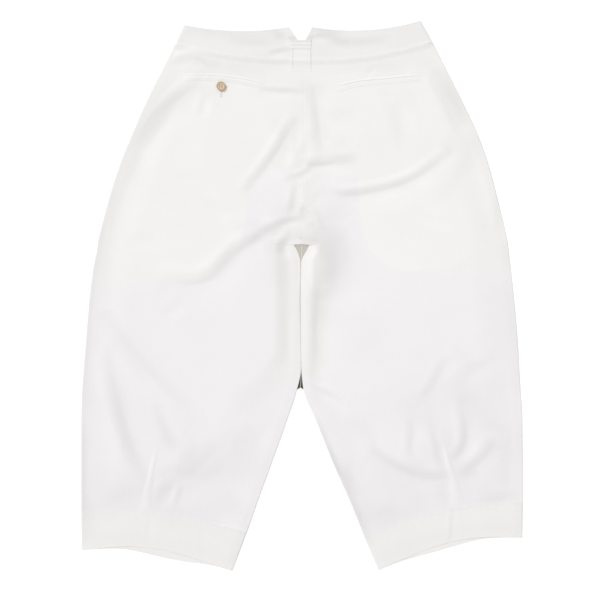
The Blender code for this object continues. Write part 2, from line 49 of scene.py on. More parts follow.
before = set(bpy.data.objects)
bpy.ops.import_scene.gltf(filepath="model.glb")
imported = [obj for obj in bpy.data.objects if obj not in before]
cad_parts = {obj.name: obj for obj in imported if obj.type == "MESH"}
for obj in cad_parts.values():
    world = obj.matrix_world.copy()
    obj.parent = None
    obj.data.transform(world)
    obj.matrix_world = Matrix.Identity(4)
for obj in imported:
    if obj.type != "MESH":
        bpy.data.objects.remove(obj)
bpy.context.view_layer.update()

MM = 0.001
SIDES = {"left": -1, "right": 1}

# The gap at a seam, on each side of the centre, and between two layers
SEAM = 0.03
CENTRE_GAP = 0.015
LAY = 0.3

# The outline: a row for each section, with its left and its right side. Each side runs from the side seam
# (outer) to the centre or the inseam (inner), whose x are distances from the middle here. A section sinks
# towards the hems by its bow halfway along.
Section = namedtuple("Section", "outer_x outer_y inner_x inner_y bow")

SECTIONS = {
    "waist top": ((178, 405, CENTRE_GAP, 401.3, 7.8), (178, 411, CENTRE_GAP, 401.3, 9.6)),
    "waist seam": ((191.5, 375, CENTRE_GAP, 351, 7.4), (196, 378.5, CENTRE_GAP, 351, 9.5)),
    "pocket": ((214, 330, CENTRE_GAP, 325, 3), (220.5, 330, CENTRE_GAP, 325, 4)),
    "high hip": ((236, 285, CENTRE_GAP, 285, 0), (243, 285, CENTRE_GAP, 285, 0)),
    "hip": ((255.5, 240, CENTRE_GAP, 240, 0), (264, 240, CENTRE_GAP, 240, 0)),
    "seat": ((273.5, 195, CENTRE_GAP, 195, 0), (280, 195, CENTRE_GAP, 195, 0)),
    "low seat": ((288, 150, CENTRE_GAP, 150, 0), (292, 150, CENTRE_GAP, 150, 0)),
    "rise": ((300, 105, CENTRE_GAP, 105, 0), (303, 105, CENTRE_GAP, 105, 0)),
    "crotch": ((304.5, 87, 0.4, 75.8, 0), (307, 87, 0.4, 75.8, 0)),
    "crotch corner": ((306, 80, 12.2, 75, 0), (308.5, 79, 10.8, 75, 0)),
    "crotch side": ((307.5, 68, 8.0, 68, 0), (310, 67.5, 7.2, 67.5, 0)),
    "inseam": ((311.5, 49, 2.6, 49, 0), (312, 49, -1.2, 49, 0)),
    "thigh": ((319, -8, 3.4, -8, 0), (318.4, -8, -2.0, -8, 0)),
    "mid thigh": ((324.5, -75, 2.2, -75, 0), (324, -75, -1.4, -75, 0)),
    "low thigh": ((327.5, -112, 1.8, -112, 0), (326, -112, -0.6, -112, 0)),
    "knee": ((329.8, -142, 7.6, -142, 0), (327.8, -142, 2.2, -142, 0)),
    "calf": ((331, -188, 22.5, -188, 0), (330.5, -188, 21, -188, 0)),
    "low calf": ((331, -255, 46.5, -255, 0), (331, -255, 48, -255, 0)),
    "tuck": ((331, -293, 64, -303, -3), (331, -285, 71, -307, -4)),
    "hem seam": ((331, -326, 83, -357, -10.5), (331, -311, 94, -364, -13.5)),
    "hem edge": ((330.5, -382.5, 104.5, -414, -14), (330.5, -364, 114.5, -413, -15.5)),
}


def sections_of(side):
    """The sections of one side by name, with their x on that side of the middle."""
    sections = {}
    for name, both in SECTIONS.items():
        outer_x, outer_y, inner_x, inner_y, bow = both[side > 0]
        sections[name] = Section(side * outer_x, outer_y, side * inner_x, inner_y, bow)
    return sections


OUTLINE = {side: sections_of(side) for side in SIDES.values()}

# The notch at the centre back. How much lower the front's top edge and waist seam are at the centre, from
# which height up its rows follow them, and how far inside the outline its bands lie. How the hem edges
# differ from their section: the front sags, and the back rises and lies down.
NOTCH_HALF_WIDTH = {-1: 19.5, 1: 15.5}
NOTCH_DEPTH = 28.3
FRONT_DIP = 33
FRONT_SEAM_DIP = 26
FRONT_DIP_FROM = 250
FRONT_DIP_GROWS = 100
FRONT_BAND_INSET = 2.8
FRONT_HEM_INSET = 2.5
FRONT_HEM_SAG = {-1: 8.2, 1: 5.6}
SAG_START = 0.2
HEM_EDGE_RISE = {-1: 3.6, 1: 2.4}
HEM_RISE_SHARES = (0.1, 0.68)
HEM_EDGE_DROP = 1.0
HEM_DROP_HEIGHT = 30

# How far the back lifts off the front, at heights up the garment. Beside the inseam it stays down over a
# flat strip and then rises over a slope.
Loft = namedtuple("Loft", "y lift left_strip left_slope right_strip right_slope")

LOFTS = (
    Loft(-412, 0.6, 2, 70, 2, 60),
    Loft(-328, 1.0, 2, 80, 2, 60),
    Loft(-245, 5.2, 3, 110, 3, 70),
    Loft(-160, 4.6, 4, 100, 3, 60),
    Loft(-120, 4.7, 7, 60, 2, 40),
    Loft(-80, 4.9, 12, 27, 2, 18),
    Loft(50, 4.9, 11, 27, 2, 17),
    Loft(90, 4.8, 4, 20, 2, 16),
    Loft(240, 4.4, 0, 9, 0, 9),
    Loft(340, 3.0, 0, 9, 0, 9),
    Loft(412, 2.0, 0, 9, 0, 9),
)
# The slope beside the side seams, how much a height above the crotch counts as a distance from its corner,
# and how softly two heights cross
OUTER_SLOPE = 62
ABOVE_CROTCH = 1.2
SOFTEST = 0.5
# How the height of the pieces under the back falls beside them
LAYER_SLOPE = 22
BAND_REACH = 6
HEM_REACH = 4
BAG_TOP_REACH = 24
BAG_TOP_SLOPE = 16

# One row for each fold: a smooth curve through four places, where the left wall of a trough is steepest,
# or along the crest of a ridge if the depth is negative. It leans where its left side, on the way from
# start to end, is steeper and has a higher crest, and it runs out to nothing at both ends. Beside the edges
# of a leg the folds fade over a distance.
Fold = namedtuple("Fold", "start near far end width depth lean")
FOLD_FADE = 14
# The shape of a fold, in its widths: the run and taper of its ends, its reach, its shift to the right, the
# height, place and spread of its crests, and how much a full lean narrows its left and widens its right
FOLD_END = 1.3
FOLD_TAPER = 0.8
FOLD_REACH = 7
FOLD_SHIFT = 0.7
CREST_HEIGHT = 0.3
CREST_PLACE = 1.9
CREST_SPREAD = 0.6
LEAN_NARROWS = 0.35
LEAN_WIDENS = 2

FOLDS = {
    "left hip": Fold((-302, 168), (-240, 238), (-196, 287), (-148, 323), 8, 2.6, 0.8),
    "left waist": Fold((-212, 338), (-184, 351), (-156, 353), (-130, 334), 6, 3.0, 0.7),
    "left seat": Fold((-93, 146), (-54, 193), (-31, 228), (-6, 273), 6.5, 2.5, 0.8),
    "left bag": Fold((-218, 27), (-146, 22), (-84, 75), (8, 113), 9, 2.6, 0.8),
    "left inseam": Fold((-7.5, -100), (-7.5, -40), (-7, 20), (-7, 64), 3.2, -0.6, 0.0),
    "left thigh": Fold((-295, -16), (-258, -72), (-213, -130), (-168, -175), 8, 2.6, 0.3),
    "left knee": Fold((-217, -290), (-251, -238), (-278, -150), (-292, -66), 10, 3.1, 0.6),
    "left calf": Fold((-222, -295), (-184, -277), (-151, -247), (-115, -208), 16, 2.3, 0.7),
    "centre ridge": Fold((-28, 168), (-18, 195), (-3, 225), (13, 257), 7, -1.2, 0.0),
    "centre back": Fold((31, 196), (25, 240), (20, 280), (14, 318), 7, 2.5, 0.7),
    "right crotch": Fold((-8, 198), (18, 195), (50, 199), (92, 202), 7, 2.0, 0.7),
    "right seat": Fold((28, 168), (66, 150), (160, 171), (232, 223), 6, 2.5, 0.8),
    "right hip": Fold((246, 238), (224, 285), (209, 310), (189, 338), 10, 3.2, 0.6),
    "right groin": Fold((38, -30), (45, 28), (36, 80), (8, 128), 28, 5.2, 0.85),
    "right inseam": Fold((22, -126), (17, -70), (19, -20), (28, 50), 12, 3.6, 0.7),
    "right thigh": Fold((177, -157), (192, -139), (207, -112), (217, -90), 6, 0.9, 0.6),
    "right knee": Fold((222, -252), (241, -228), (244, -200), (235, -151), 6.5, 2.3, 0.6),
    "right inner calf": Fold((105, -226), (136, -252), (177, -271), (234, -275), 8, 3.0, 0.6),
    "right outer calf": Fold((231, -271), (252, -259), (273, -240), (292, -210), 8, 2.2, 0.7),
    "right shin": Fold((160, -247), (162, -225), (163, -202), (160, -180), 6, 1.1, 0.5),
    "left band": Fold((-151, 395), (-124, 390), (-85, 381), (-52, 376), 7, 0.9, 0.3),
    "right band": Fold((34, 385), (66, 378), (98, 379), (132, 384), 6, 1.1, 0.4),
}

# Finer creases, which only the dressed cloth has
CREASES = {
    "pocket dip": Fold((-154, 265), (-151, 277), (-148, 292), (-147, 303), 5, 0.9, 0.2),
    "pocket side": Fold((-132, 286), (-123, 282), (-112, 277), (-102, 273), 4, 0.5, 0.3),
    "seat dip": Fold((-20, 116), (-15, 134), (-12, 152), (-10, 172), 5, 1.7, 0.2),
    "left bag end": Fold((-84, 74), (-57, 94), (-28, 107), (14, 114), 6, 1.5, 0.7),
    "centre waist": Fold((-64, 310), (-40, 306), (-18, 305), (8, 301.5), 4, 1.7, 0.5),
    "crotch cross": Fold((-26, 174), (-8, 177), (8, 186), (20, 197), 4, 1.3, 0.5),
    "crotch spot": Fold((-7, 149), (-3, 147), (0, 146), (4, 146), 3, 0.5, 0.0),
    "crotch entry": Fold((-1, 133), (8, 125), (17, 114), (24, 94), 4, 2.2, 0.4),
    "crotch left": Fold((-36, 58), (-32, 66), (-27, 76), (-25, 88), 6, 1.6, 0.3),
    "crotch ridge": Fold((-34, 92), (-20, 99), (-4, 102), (12, 99), 4.5, -1.9, 0.0),
    "crotch line": Fold((-14, 87), (-5, 88.5), (6, 89), (18, 92), 2.5, 1.3, 0.4),
    "crotch right": Fold((4, 54), (10, 59), (15, 65), (20, 73), 3, 0.7, 0.3),
    "right pocket": Fold((151, 210), (145, 255), (132, 285), (114, 310), 9, 1.0, 0.2),
    "right pocket side": Fold((113, 306), (122, 303), (131, 300), (141, 298), 4, 0.6, 0.3),
    "right waist": Fold((92, 330), (98, 333), (102, 338), (106, 344), 3.5, 0.5, 0.0),
    "right knee crease": Fold((-8, -129), (20, -141), (47, -152), (72, -174), 4.5, 1.7, 0.6),
    "right knee side": Fold((225, -139), (249, -115), (274, -100), (301, -85), 8, 0.6, 0.3),
    "right tuck side": Fold((204, -262), (202, -235), (196, -210), (189, -184), 5, 1.1, 0.2),
    "right calf edge": Fold((76, -300), (68, -284), (62, -268), (57, -250), 5, 1.5, 1.0),
    "right hem inner": Fold((95, -345), (112, -335), (130, -327), (150, -318), 12, 1.3, 0.3),
    "right hem outer": Fold((262, -313), (285, -309), (305, -305), (326, -303), 7, 0.6, 0.3),
    "right hem crease": Fold((219, -379), (223, -361), (224, -345), (225, -322), 3, 2.0, 0.4),
    "left shin": Fold((-184, -236), (-200, -209), (-210, -184), (-218, -155), 6, 0.7, 0.2),
    "left tuck ridge": Fold((-183, -280), (-187, -292), (-191, -305), (-197, -322), 4, -0.9, 0.0),
    "left tuck side": Fold((-216, -325), (-213, -310), (-209, -295), (-204, -282), 7, 1.0, 0.3),
    "left hem outer": Fold((-300, -312), (-280, -306), (-262, -300), (-240, -292), 12, 0.8, 0.4),
    "left hem inner": Fold((-147, -398), (-151, -375), (-153, -352), (-155, -335), 5, 0.7, 0.2),
    "left hem crease": Fold((-234, -381), (-232, -360), (-230, -345), (-227, -328), 3, 0.9, 0.3),
    "left inner calf": Fold((-112, -222), (-95, -216), (-70, -214), (-45, -216), 14, 1.2, 0.3),
    "left band inner": Fold((-40, 392), (-30, 388), (-22, 382), (-16, 374), 4, 1.5, 0.3),
    "left band foot": Fold((-54, 360), (-40, 363.5), (-26, 366), (-12, 366), 3.5, 1.5, 0.4),
    "right band inner": Fold((10, 386), (20, 387), (31, 386.5), (44, 384), 3.4, 1.4, 0.4),
    "left bag outer": Fold((-262, 90), (-246, 86), (-230, 84), (-213, 83), 7, 0.5, 0.3),
    "left bag middle": Fold((-192, 184), (-180, 180), (-168, 177), (-156, 174), 7, 0.5, 0.3),
    "left bag inner": Fold((-148, 144), (-132, 136), (-118, 128), (-104, 116), 6, 0.8, 0.3),
    "right bag outer": Fold((186, 122), (200, 116), (214, 110), (228, 104), 6, 0.5, 0.0),
    "left thigh high": Fold((-212, -30), (-200, -22), (-188, -14), (-178, -6), 7, 0.6, 0.0),
}

# Painted shade: soft greys in the hollows. A row is a path through four places as a fold's, the half width of
# the grey and its strength, which takes grey away, as painted light, if it is below 0.
Shade = namedtuple("Shade", "start near far end width strength")
SHADE_TAPER = 0.5

SHADE_ROWS = (
    # bands
    ((20, 392), (40, 388), (56, 380), (72, 377), 6, 0.050),
    ((-160, 398), (-115, 391), (-70, 388), (-22, 392), 10, 0.025),
    ((-64, 372), (-38, 378), (-6, 370), (40, 386), 12, 0.020),
    ((8, 399), (22, 397), (42, 395), (62, 390), 7, 0.070),
    ((-180, 396), (-163, 396), (-148, 394), (-130, 390), 8, 0.030),
    ((-56, 398), (-45, 398), (-36, 392), (-26, 384), 6, 0.050),
    ((-112, 378), (-90, 377), (-70, 377), (-48, 378), 5, 0.045),
    ((-196, 376), (-192, 384), (-188, 392), (-184, 400), 6, 0.030),
    ((-22, 386), (-17, 384.5), (-13, 384.5), (-8, 384.5), 2.2, 0.130),
    ((4, 384.5), (8, 384.5), (13, 385), (18, 386), 2.2, 0.110),
    ((34, 382), (66, 378), (102, 378), (134, 383), 9, 0.035),
    # seat and hips
    ((-186, 374), (-214, 322), (-246, 262), (-280, 180), 22, 0.032),
    ((-238, 214), (-246, 198), (-252, 180), (-256, 160), 12, 0.028),
    ((-262, 215), (-228, 250), (-192, 291), (-150, 322), 15, 0.045),
    ((-212, 338), (-184, 351), (-156, 353), (-130, 334), 5, 0.045),
    ((262, 245), (285, 180), (302, 110), (310, 50), 14, 0.020),
    ((197, 340), (218, 308), (231, 285), (243, 252), 14, 0.085),
    ((-190, 352), (-138, 346), (-93, 343), (-24, 338), 12, 0.020),
    ((24, 338), (70, 342), (120, 348), (190, 362), 12, 0.020),
    ((-165, 352), (-130, 340), (-90, 338), (-50, 332), 13, 0.035),
    ((-85, 318), (-45, 312), (-10, 308), (40, 310), 16, 0.035),
    ((4, 330), (6, 290), (8, 250), (12, 196), 22, 0.030),
    ((8, 176), (13, 145), (22, 115), (36, 88), 15, 0.030),
    ((142, 296), (136, 270), (144, 235), (152, 208), 12, 0.020),
    ((-190, 364), (-178, 360), (-165, 360), (-152, 360), 6, -0.045),
    ((-174, 336), (-160, 333), (-146, 331), (-132, 330), 9, 0.045),
    ((-66, 352), (-50, 348), (-36, 346), (-20, 350), 7, 0.030),
    ((96, 336), (115, 339), (135, 339), (158, 336), 9, 0.035),
    ((183, 354), (191, 346), (198, 338), (205, 328), 9, 0.035),
    ((200, 330), (228, 272), (250, 225), (262, 190), 16, 0.020),
    ((150, 262), (175, 228), (195, 200), (215, 180), 22, 0.020),
    ((24, 272), (45, 270), (62, 273), (82, 277), 12, 0.035),
    ((26, 210), (42, 207), (58, 206), (80, 208), 9, 0.045),
    ((2, 197), (14, 195.5), (30, 196), (50, 199), 3.5, 0.080),
    ((1, 238), (3, 226), (4, 214), (5, 200), 8, -0.065),
    ((-36, 184), (-30, 198), (-25, 212), (-20, 226), 10, 0.055),
    ((-14, 206), (-12, 198), (-11, 190), (-10, 182), 7, -0.035),
    ((31, 262), (33, 252), (35, 240), (37, 230), 8, 0.030),
    ((10, 182), (20, 180), (32, 178), (44, 176), 7, 0.035),
    ((24, 146), (32, 137), (40, 129), (48, 119), 14, -0.045),
    ((-16, 190), (-8, 194), (0, 197), (8, 199), 7, -0.045),
    ((-10, 240), (-12, 230), (-14, 222), (-18, 212), 6, 0.035),
    ((48, 200), (60, 200), (74, 200), (88, 200), 12, 0.025),
    ((136, 158), (150, 160), (164, 163), (178, 166), 9, 0.025),
    ((-150, 318), (-144, 310), (-138, 300), (-132, 290), 10, 0.025),
    ((140, 304), (152, 296), (162, 286), (170, 274), 14, 0.028),
    ((206, 230), (213, 224), (220, 217), (228, 210), 10, 0.030),
    ((-12, 266), (-11, 252), (-10, 240), (-10, 226), 6, 0.040),
    ((-264, 232), (-288, 160), (-304, 95), (-316, 30), 14, 0.030),
    ((-150, 326), (-186, 300), (-220, 262), (-248, 222), 22, 0.035),
    ((196, 130), (222, 170), (246, 205), (258, 245), 14, 0.030),
    ((-44, 262), (-34, 250), (-24, 238), (-12, 226), 10, 0.030),
    ((-8, 232), (0, 218), (14, 205), (26, 196), 12, 0.035),
    ((30, 215), (44, 222), (58, 228), (72, 232), 12, 0.030),
    # crotch and inseams
    ((-44, 110), (-26, 124), (-12, 130), (6, 122), 13, 0.050),
    ((-60, 68), (-48, 72), (-36, 74), (-24, 70), 12, 0.040),
    ((14, 112), (18, 105), (20, 98), (21, 90), 6, 0.045),
    ((14, 84), (19, 80), (22, 74), (23, 66), 6, 0.075),
    ((-66, 92), (-60, 91), (-54, 90), (-46, 88), 6, -0.040),
    ((-18, 92), (-12, 91), (-8, 90), (-2, 90), 6, -0.080),
    ((-80, 108), (-70, 107), (-60, 107), (-50, 108), 7, 0.030),
    ((32, 10), (33, -8), (33, -24), (32, -44), 14, 0.032),
    ((-10, 66), (-9, 50), (-9, 30), (-9, 5), 5, -0.070),
    ((13, 52), (14, 40), (14, 25), (14, 8), 5, -0.055),
    ((14, 94), (24, 84), (28, 70), (29, 50), 7, 0.050),
    ((60, 100), (66, 70), (66, 40), (62, 0), 13, 0.032),
    ((-90, 72), (-56, 94), (-28, 108), (6, 114), 11, 0.045),
    ((-36, 86), (-36, 66), (-35, 40), (-33, 10), 12, 0.060),
    ((44, 106), (47, 75), (44, 35), (36, -10), 17, 0.100),
    ((9, 82), (9, 30), (11, -50), (15, -140), 9, 0.055),
    ((22, 10), (25, -20), (22, -70), (20, -135), 11, 0.050),
    ((-54, -104), (-57, -120), (-62, -138), (-68, -156), 15, -0.048),
    ((10, -60), (12, -100), (18, -140), (26, -175), 12, 0.030),
    # left leg
    ((-215, 345), (-288, 160), (-326, -60), (-332, -335), 40, 0.045),
    ((-284, 160), (-312, 45), (-328, -110), (-332, -335), 9, 0.045),
    ((-262, 225), (-280, 150), (-296, 80), (-302, -20), 18, 0.028),
    ((-100, 104), (-88, 100), (-76, 103), (-62, 109), 8, 0.040),
    ((-294, -20), (-261, -72), (-216, -125), (-168, -175), 10, 0.050),
    ((-170, -262), (-150, -270), (-130, -262), (-116, -250), 10, 0.030),
    ((-204, -270), (-188, -276), (-178, -278), (-166, -276), 8, -0.035),
    ((-215, -212), (-192, -220), (-176, -230), (-158, -236), 14, 0.035),
    ((-316, -205), (-308, -245), (-306, -275), (-310, -305), 20, 0.035),
    ((-190, -160), (-176, -178), (-160, -190), (-145, -205), 16, 0.020),
    ((-128, -333), (-112, -343), (-98, -352), (-86, -356), 14, -0.040),
    ((-294, -82), (-280, -150), (-262, -218), (-228, -283), 12, 0.030),
    ((-225, -160), (-212, -190), (-202, -212), (-188, -235), 9, 0.040),
    ((-300, -120), (-262, -180), (-240, -250), (-215, -310), 42, 0.035),
    ((-215, -290), (-160, -268), (-115, -250), (-50, -236), 34, 0.045),
    ((-330, -312), (-285, -304), (-235, -306), (-175, -312), 26, 0.040),
    ((-225, -335), (-165, -326), (-115, -328), (-72, -340), 22, 0.040),
    ((-331, -190), (-331, -265), (-331, -330), (-331, -392), 9, 0.100),
    ((-322, 60), (-328, -40), (-332, -150), (-331, -230), 16, 0.030),
    ((-176, -196), (-172, -206), (-168, -214), (-164, -222), 8, 0.028),
    ((-118, -296), (-110, -304), (-104, -312), (-98, -322), 12, 0.028),
    ((-328, -300), (-322, -312), (-320, -345), (-318, -368), 10, 0.035),
    ((-104, -352), (-97, -360), (-92, -368), (-88, -376), 9, -0.060),
    ((-98, 76), (-110, 62), (-122, 50), (-136, 40), 12, 0.030),
    # right leg
    ((303, 84), (308, 66), (312, 48), (315, 30), 12, 0.040),
    ((308, 30), (318, -30), (322, -80), (326, -150), 12, 0.040),
    ((260, 128), (270, 112), (280, 95), (287, 78), 14, 0.022),
    ((204, -282), (208, -292), (211, -302), (214, -312), 8, 0.040),
    ((176, -180), (205, -205), (226, -232), (246, -250), 16, 0.035),
    ((70, -180), (85, -196), (98, -210), (112, -222), 16, 0.030),
    ((190, -225), (215, -240), (240, -245), (262, -240), 22, 0.022),
    ((300, -190), (306, -230), (306, -270), (300, -290), 14, 0.030),
    ((192, -205), (202, -225), (206, -245), (212, -275), 7, 0.040),
    ((100, -222), (118, -240), (142, -256), (170, -268), 7, 0.040),
    ((96, -302), (112, -318), (128, -326), (148, -322), 16, 0.030),
    ((217, -92), (203, -118), (188, -146), (160, -175), 12, 0.025),
    ((222, -80), (236, -90), (250, -102), (264, -116), 16, 0.028),
    ((168, -222), (180, -228), (190, -236), (200, -246), 10, 0.030),
    ((236, -188), (244, -202), (248, -216), (250, -230), 12, 0.028),
    ((274, -206), (284, -210), (294, -214), (306, -218), 10, -0.030),
    ((240, -268), (248, -268), (256, -266), (264, -262), 7, 0.035),
    ((160, -240), (168, -246), (176, -252), (186, -258), 9, 0.030),
    ((330, -190), (331, -215), (332, -240), (332, -270), 8, 0.035),
    ((330, -300), (331, -315), (331, -330), (331, -345), 9, -0.035),
    ((100, -150), (160, -165), (215, -165), (260, -190), 38, 0.026),
    ((222, -120), (246, -155), (264, -190), (282, -240), 22, 0.045),
    ((160, -247), (162, -225), (163, -205), (160, -185), 6, 0.030),
    ((245, -100), (275, -158), (290, -202), (300, -250), 30, 0.020),
    ((22, -140), (60, -215), (80, -280), (98, -350), 20, 0.045),
    ((34, -225), (62, -280), (84, -330), (104, -380), 7, 0.100),
    ((18, -178), (32, -212), (46, -245), (58, -275), 6, 0.110),
    ((64, -255), (68, -268), (74, -284), (82, -302), 8, 0.060),
    ((70, -318), (108, -340), (145, -330), (190, -312), 18, 0.050),
    ((262, -300), (285, -303), (308, -301), (331, -300), 12, 0.040),
    ((80, -270), (147, -275), (207, -278), (310, -262), 42, 0.040),
)
SHADES = [Shade(*row) for row in SHADE_ROWS]

# The painted shade beside the inseams, a warmer and darker tone of the cloth on both sides of them: its
# reach there and above the crotch, its ends, how soft and ragged its edges are, and how much darker it is
WARM_REACH = 48
WARM_REACH_ABOVE = 30
WARM_NARROWS = 112
WARM_NARROWING = 20
WARM_HEIGHTS = (-132, 196)
WARM_BLUR = 16
WARM_END_BLURS = (14, 20)
WARM_RAGGED = 5
WARM_SHADE = 0.024

# How much less painted shade the hem bands carry, and painted light along the hem seams, over a half width
HEM_BAND_LIGHTER = 0.004
HEM_SEAM_LIGHTER = 0.025
HEM_SEAM_WIDTH = 4
# Painted shade: how much darker the legs are where they hang over the hem seam, up to this height above it
BLOUSE_DARKER = 0.026
BLOUSE_HEIGHT = 24

# The slits of the back pockets, through four places. Their lips reach this far to each side, are cut this
# wide, and stand above the leg by a step and by a share of their rise. The rise grows from their ends, rolls
# over at the slit and falls from a crest across them, and painted shade grows across them.
SLITS = {
    "left": ((-177, 328.5), (-133.5, 328.2), (-88.5, 322.8), (-45, 312.8)),
    "right": ((51, 312), (87, 319.5), (132, 324), (178.5, 328.5)),
}
UPPER_LIP = 4.0
LOWER_LIP = 7.0
LIP_CUT = 11
LIP_STEP = 0.1
LIP_WALL = 0.08
LIP_ENDS = 14
LIP_ROLL = 0.3
LIP_CREST = 0.35
LIP_SHADING = 0.4
LIP_STITCHES = 1.1
LIP_SHARES = {"left": {"upper": 0.6, "lower": 1.0}, "right": {"upper": 0.8, "lower": 0.3}}

# The bags of the side pockets: a rounded shape that the side seam cuts off, whose edge prints through
Bag = namedtuple("Bag", "centre_x centre_y half_width half_length squareness")
BAGS = {
    "left": Bag(-179, 160, 95, 138, 2.8),
    "right": Bag(179, 160, 95, 124, 2.8),
}
BAG_TOP = 330
BAG_INSET = 9
BAG_MARGIN = 0.14
BAG_PRINT = 0.14
BAG_PRINT_WIDTH = 2.5
BAG_PRINT_FADE = 60
# Where the warm tone of a bag shows through right across the leg, and how soft and ragged its edges are
BAG_SHOWS_FROM = 166
BAG_SHOWS_BLUR = 30
BAG_BLUR = 5
BAG_BLUR_GROWS = 0.6
BAG_RAGGED = 14

# The pointed tucks above the hems: one row for each height, with the left and right edges there
Tuck = namedtuple("Tuck", "y left right")
TUCKS = {
    "left": (
        Tuck(-228, -219, -216),
        Tuck(-247, -227, -218),
        Tuck(-262, -231, -220.5),
        Tuck(-278, -235, -222.5),
        Tuck(-300, -242, -225),
        Tuck(-325, -247, -225),
    ),
    "right": (
        Tuck(-220, 208, 211),
        Tuck(-233, 209.5, 217),
        Tuck(-247, 211.5, 222),
        Tuck(-262, 214, 227.5),
        Tuck(-280, 217, 234.5),
        Tuck(-300, 219, 240),
        Tuck(-325, 219.5, 242.5),
    ),
}
# How far across a tuck its crest is, the heights over which it rises from its tip and sinks at its foot, how
# much less painted shade it carries than the leg, a painted highlight, and how its cloth lies on the leg
TUCK_CREST = 0.6
TUCK_TIP = 34
TUCK_TIP_SHARE = 0.1
TUCK_FOOT = 10
TUCK_FOOT_GAP = 0.4
TUCK_PALER = 0.7
TUCK_CLEAR = 0.11
TUCK_WALL = 0.08

# The belt loop: its place, the arch and the clear height of its face, how its edges waver and turn down,
# where it leaves the band, sinks and lies on the seat, its creases, its channels (x, depth) and its painted
# shade, which is darker in the creases and channels
LOOP_CENTRE = -2
LOOP_WIDTH = 31.5
LOOP_TOP = 381.5
LOOP_FOOT = 334.5
LOOP_ARCH = 0.1
LOOP_CLEAR = 0.12
LOOP_WAVER = 0.25
LOOP_EDGE_DROP = 0.3
LOOP_LEAVES_BAND = 4
LOOP_SINKS = 0.8
LOOP_SEAT_TOP = 12
LOOP_PALE_FOOT = 16
LOOP_CREASES = (379, 373.5, 368)
LOOP_CHANNELS = ((-13.4, 0.32), (8.6, 0.08))
LOOP_WALL = 0.1
LOOP_CREASE = (0.28, 1.3)
LOOP_CHANNEL_WIDTH = 1.1
LOOP_ROLL = 2.2
LOOP_DARKER = 0.022
HOLLOW_DARKER = 0.3

# The fly shield. Its rounded foot narrows to a half width and this share of another.
FLY_TOP = 321
FLY_FOOT = 168
FLY_HALF_WIDTH = 19
FLY_ROUND = 34
FLY_FOOT_SHARE = 0.1

# The buttonhole: how far it runs below and above the button, its threads, and the bars across its ends
BUTTONHOLE_LENGTH = 15
BUTTONHOLE_ABOVE = 2.5
BUTTONHOLE_PITCH = 0.42
BUTTONHOLE_THREAD = 0.5
BUTTONHOLE_SLIT = 0.25
BUTTONHOLE_REACH = 1.45
BUTTONHOLE_LEAN = 0.12
BUTTONHOLE_RISE = 0.12
BAR_REACH = 1.6
BAR_PITCH = 0.45
# The holes of the button, and the threads between them: how deep they lie and how they are spread
HOLE_REACH = 1.98
HOLE_RADIUS = 1.15
HOLE_DEPTH = 1.6
HOLE_TURNS = np.radians(45 + 90 * np.arange(4))
SEWN_DEPTH = 0.62
SEWN_SHIFTS = (-0.32, 0, 0.32)

# How far stitches stand above a face, and below the underside of the front
STITCH_ABOVE = 0.02
STITCH_BELOW = 0.06
# The rows beside the centre-back seam (x, height of the foot), how far in from its ends and how deep the belt
# loop is sewn, the shares of the front's seams that are sewn, and the rows of the fly
SEAT_ROWS = ((1.9, 150), (6.4, 160))
LOOP_SEWN_INSET = 2
LOOP_SEWN_DEPTH = 0.22
FRONT_SEWN_SHARES = (0.02, 0.99)
FLY_SEWN_X = 31
FLY_SEWN_TOP = 318
FLY_BEND = 190
FLY_BEND_WIDTH = 30
FLY_BEND_DROP = 26
FLY_ROW_GAP = 5

# The thinner edges of the back, the height that they turn down to, how clear of the front the inseams lie,
# and the heights over which they begin, at which they part and at which the gap above is deepest
EDGE_THINNER = 0.8
EDGE_SLOPE = 14
EDGE_FLOOR = 0.35
BAND_EDGE_FLOOR = 0.4
INSEAM_ROLL = 1.5
INSEAM_CLEAR = 0.1
INSEAM_BEGINS = 3
LEGS_PART = -143
PARTING = 4
GAP_DEEPENS = -109
# The dip of the seat at the centre-back seam, which grows from a height up
SEAT_DIP = 0.06
SEAT_DIP_FROM = 110
SEAT_DIP_GROWS = 60
# How far inside the outline the front legs lie: at the side seams, and at the inseams above and below where
# they part. Above there their inner outline is the middle of the two inseams, less this gap. The crotch gap
# shows this much of them, up to a height, in painted shade as dark as this and deeper below.
FRONT_OUTER_INSET = 1.7
FRONT_INSET = 0.15
FRONT_INSET_PARTED = 1.65
FRONT_PARTING = 3
FRONT_CENTRE_GAP = 0.1
GAP_REACH = 24
GAP_BLUR = 8
GAP_TOP = 100
GAP_SHADE = 0.18
GAP_SHADE_DEEPER = 0.74
GAP_DEEPENING = 9

# How far from the waist seam the seat rises to it, the height and the half widths of the ridge along the
# seam, and the painted shade of the seam, below it
WAIST_RISE = 24
SEAM_RIDGE = 0.75
RIDGE_BELOW = 2.8
RIDGE_ABOVE = 3.4
SEAM_DARKER = 0.04
SEAM_GREY_BELOW = 3

# The ripples beside the seams: how far they wander, over how many of their lengths, how far they reach,
# their start along the waist seam, and their share on the centre-back seam, from a height up
PUCKER_WANDER = 1.3
PUCKER_PERIOD = 4.7
PUCKER_REACH = 7
WAIST_PHASE = 40
CENTRE_PUCKER = 0.6
CENTRE_PUCKER_FROM = 80
CENTRE_PUCKER_GROWS = 20

# The soft unevenness of the cloth: the cell of each size, its seed and its share
UNEVENNESS = ((46, 1, 1.0), (21, 2, 0.45), (9, 3, 0.2))

# Columns in the turn of an edge, the width of the turn of the back waistband's side edge, and the angle from
# which rims are rounded
ROLL_COLUMNS = 7
BAND_TURN = 4.6
RIM_ANGLE = math.radians(50)


# Settings that a user may change


def wall_of(node):
    """The thickness of a flat node of the frame, in metres."""
    low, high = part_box(node)
    return round(high.z - low.z, 5)


def length(name, default, description):
    """A length in metres, as a property."""
    return FloatProperty(name=name, description=description, default=default, min=0, unit="LENGTH")


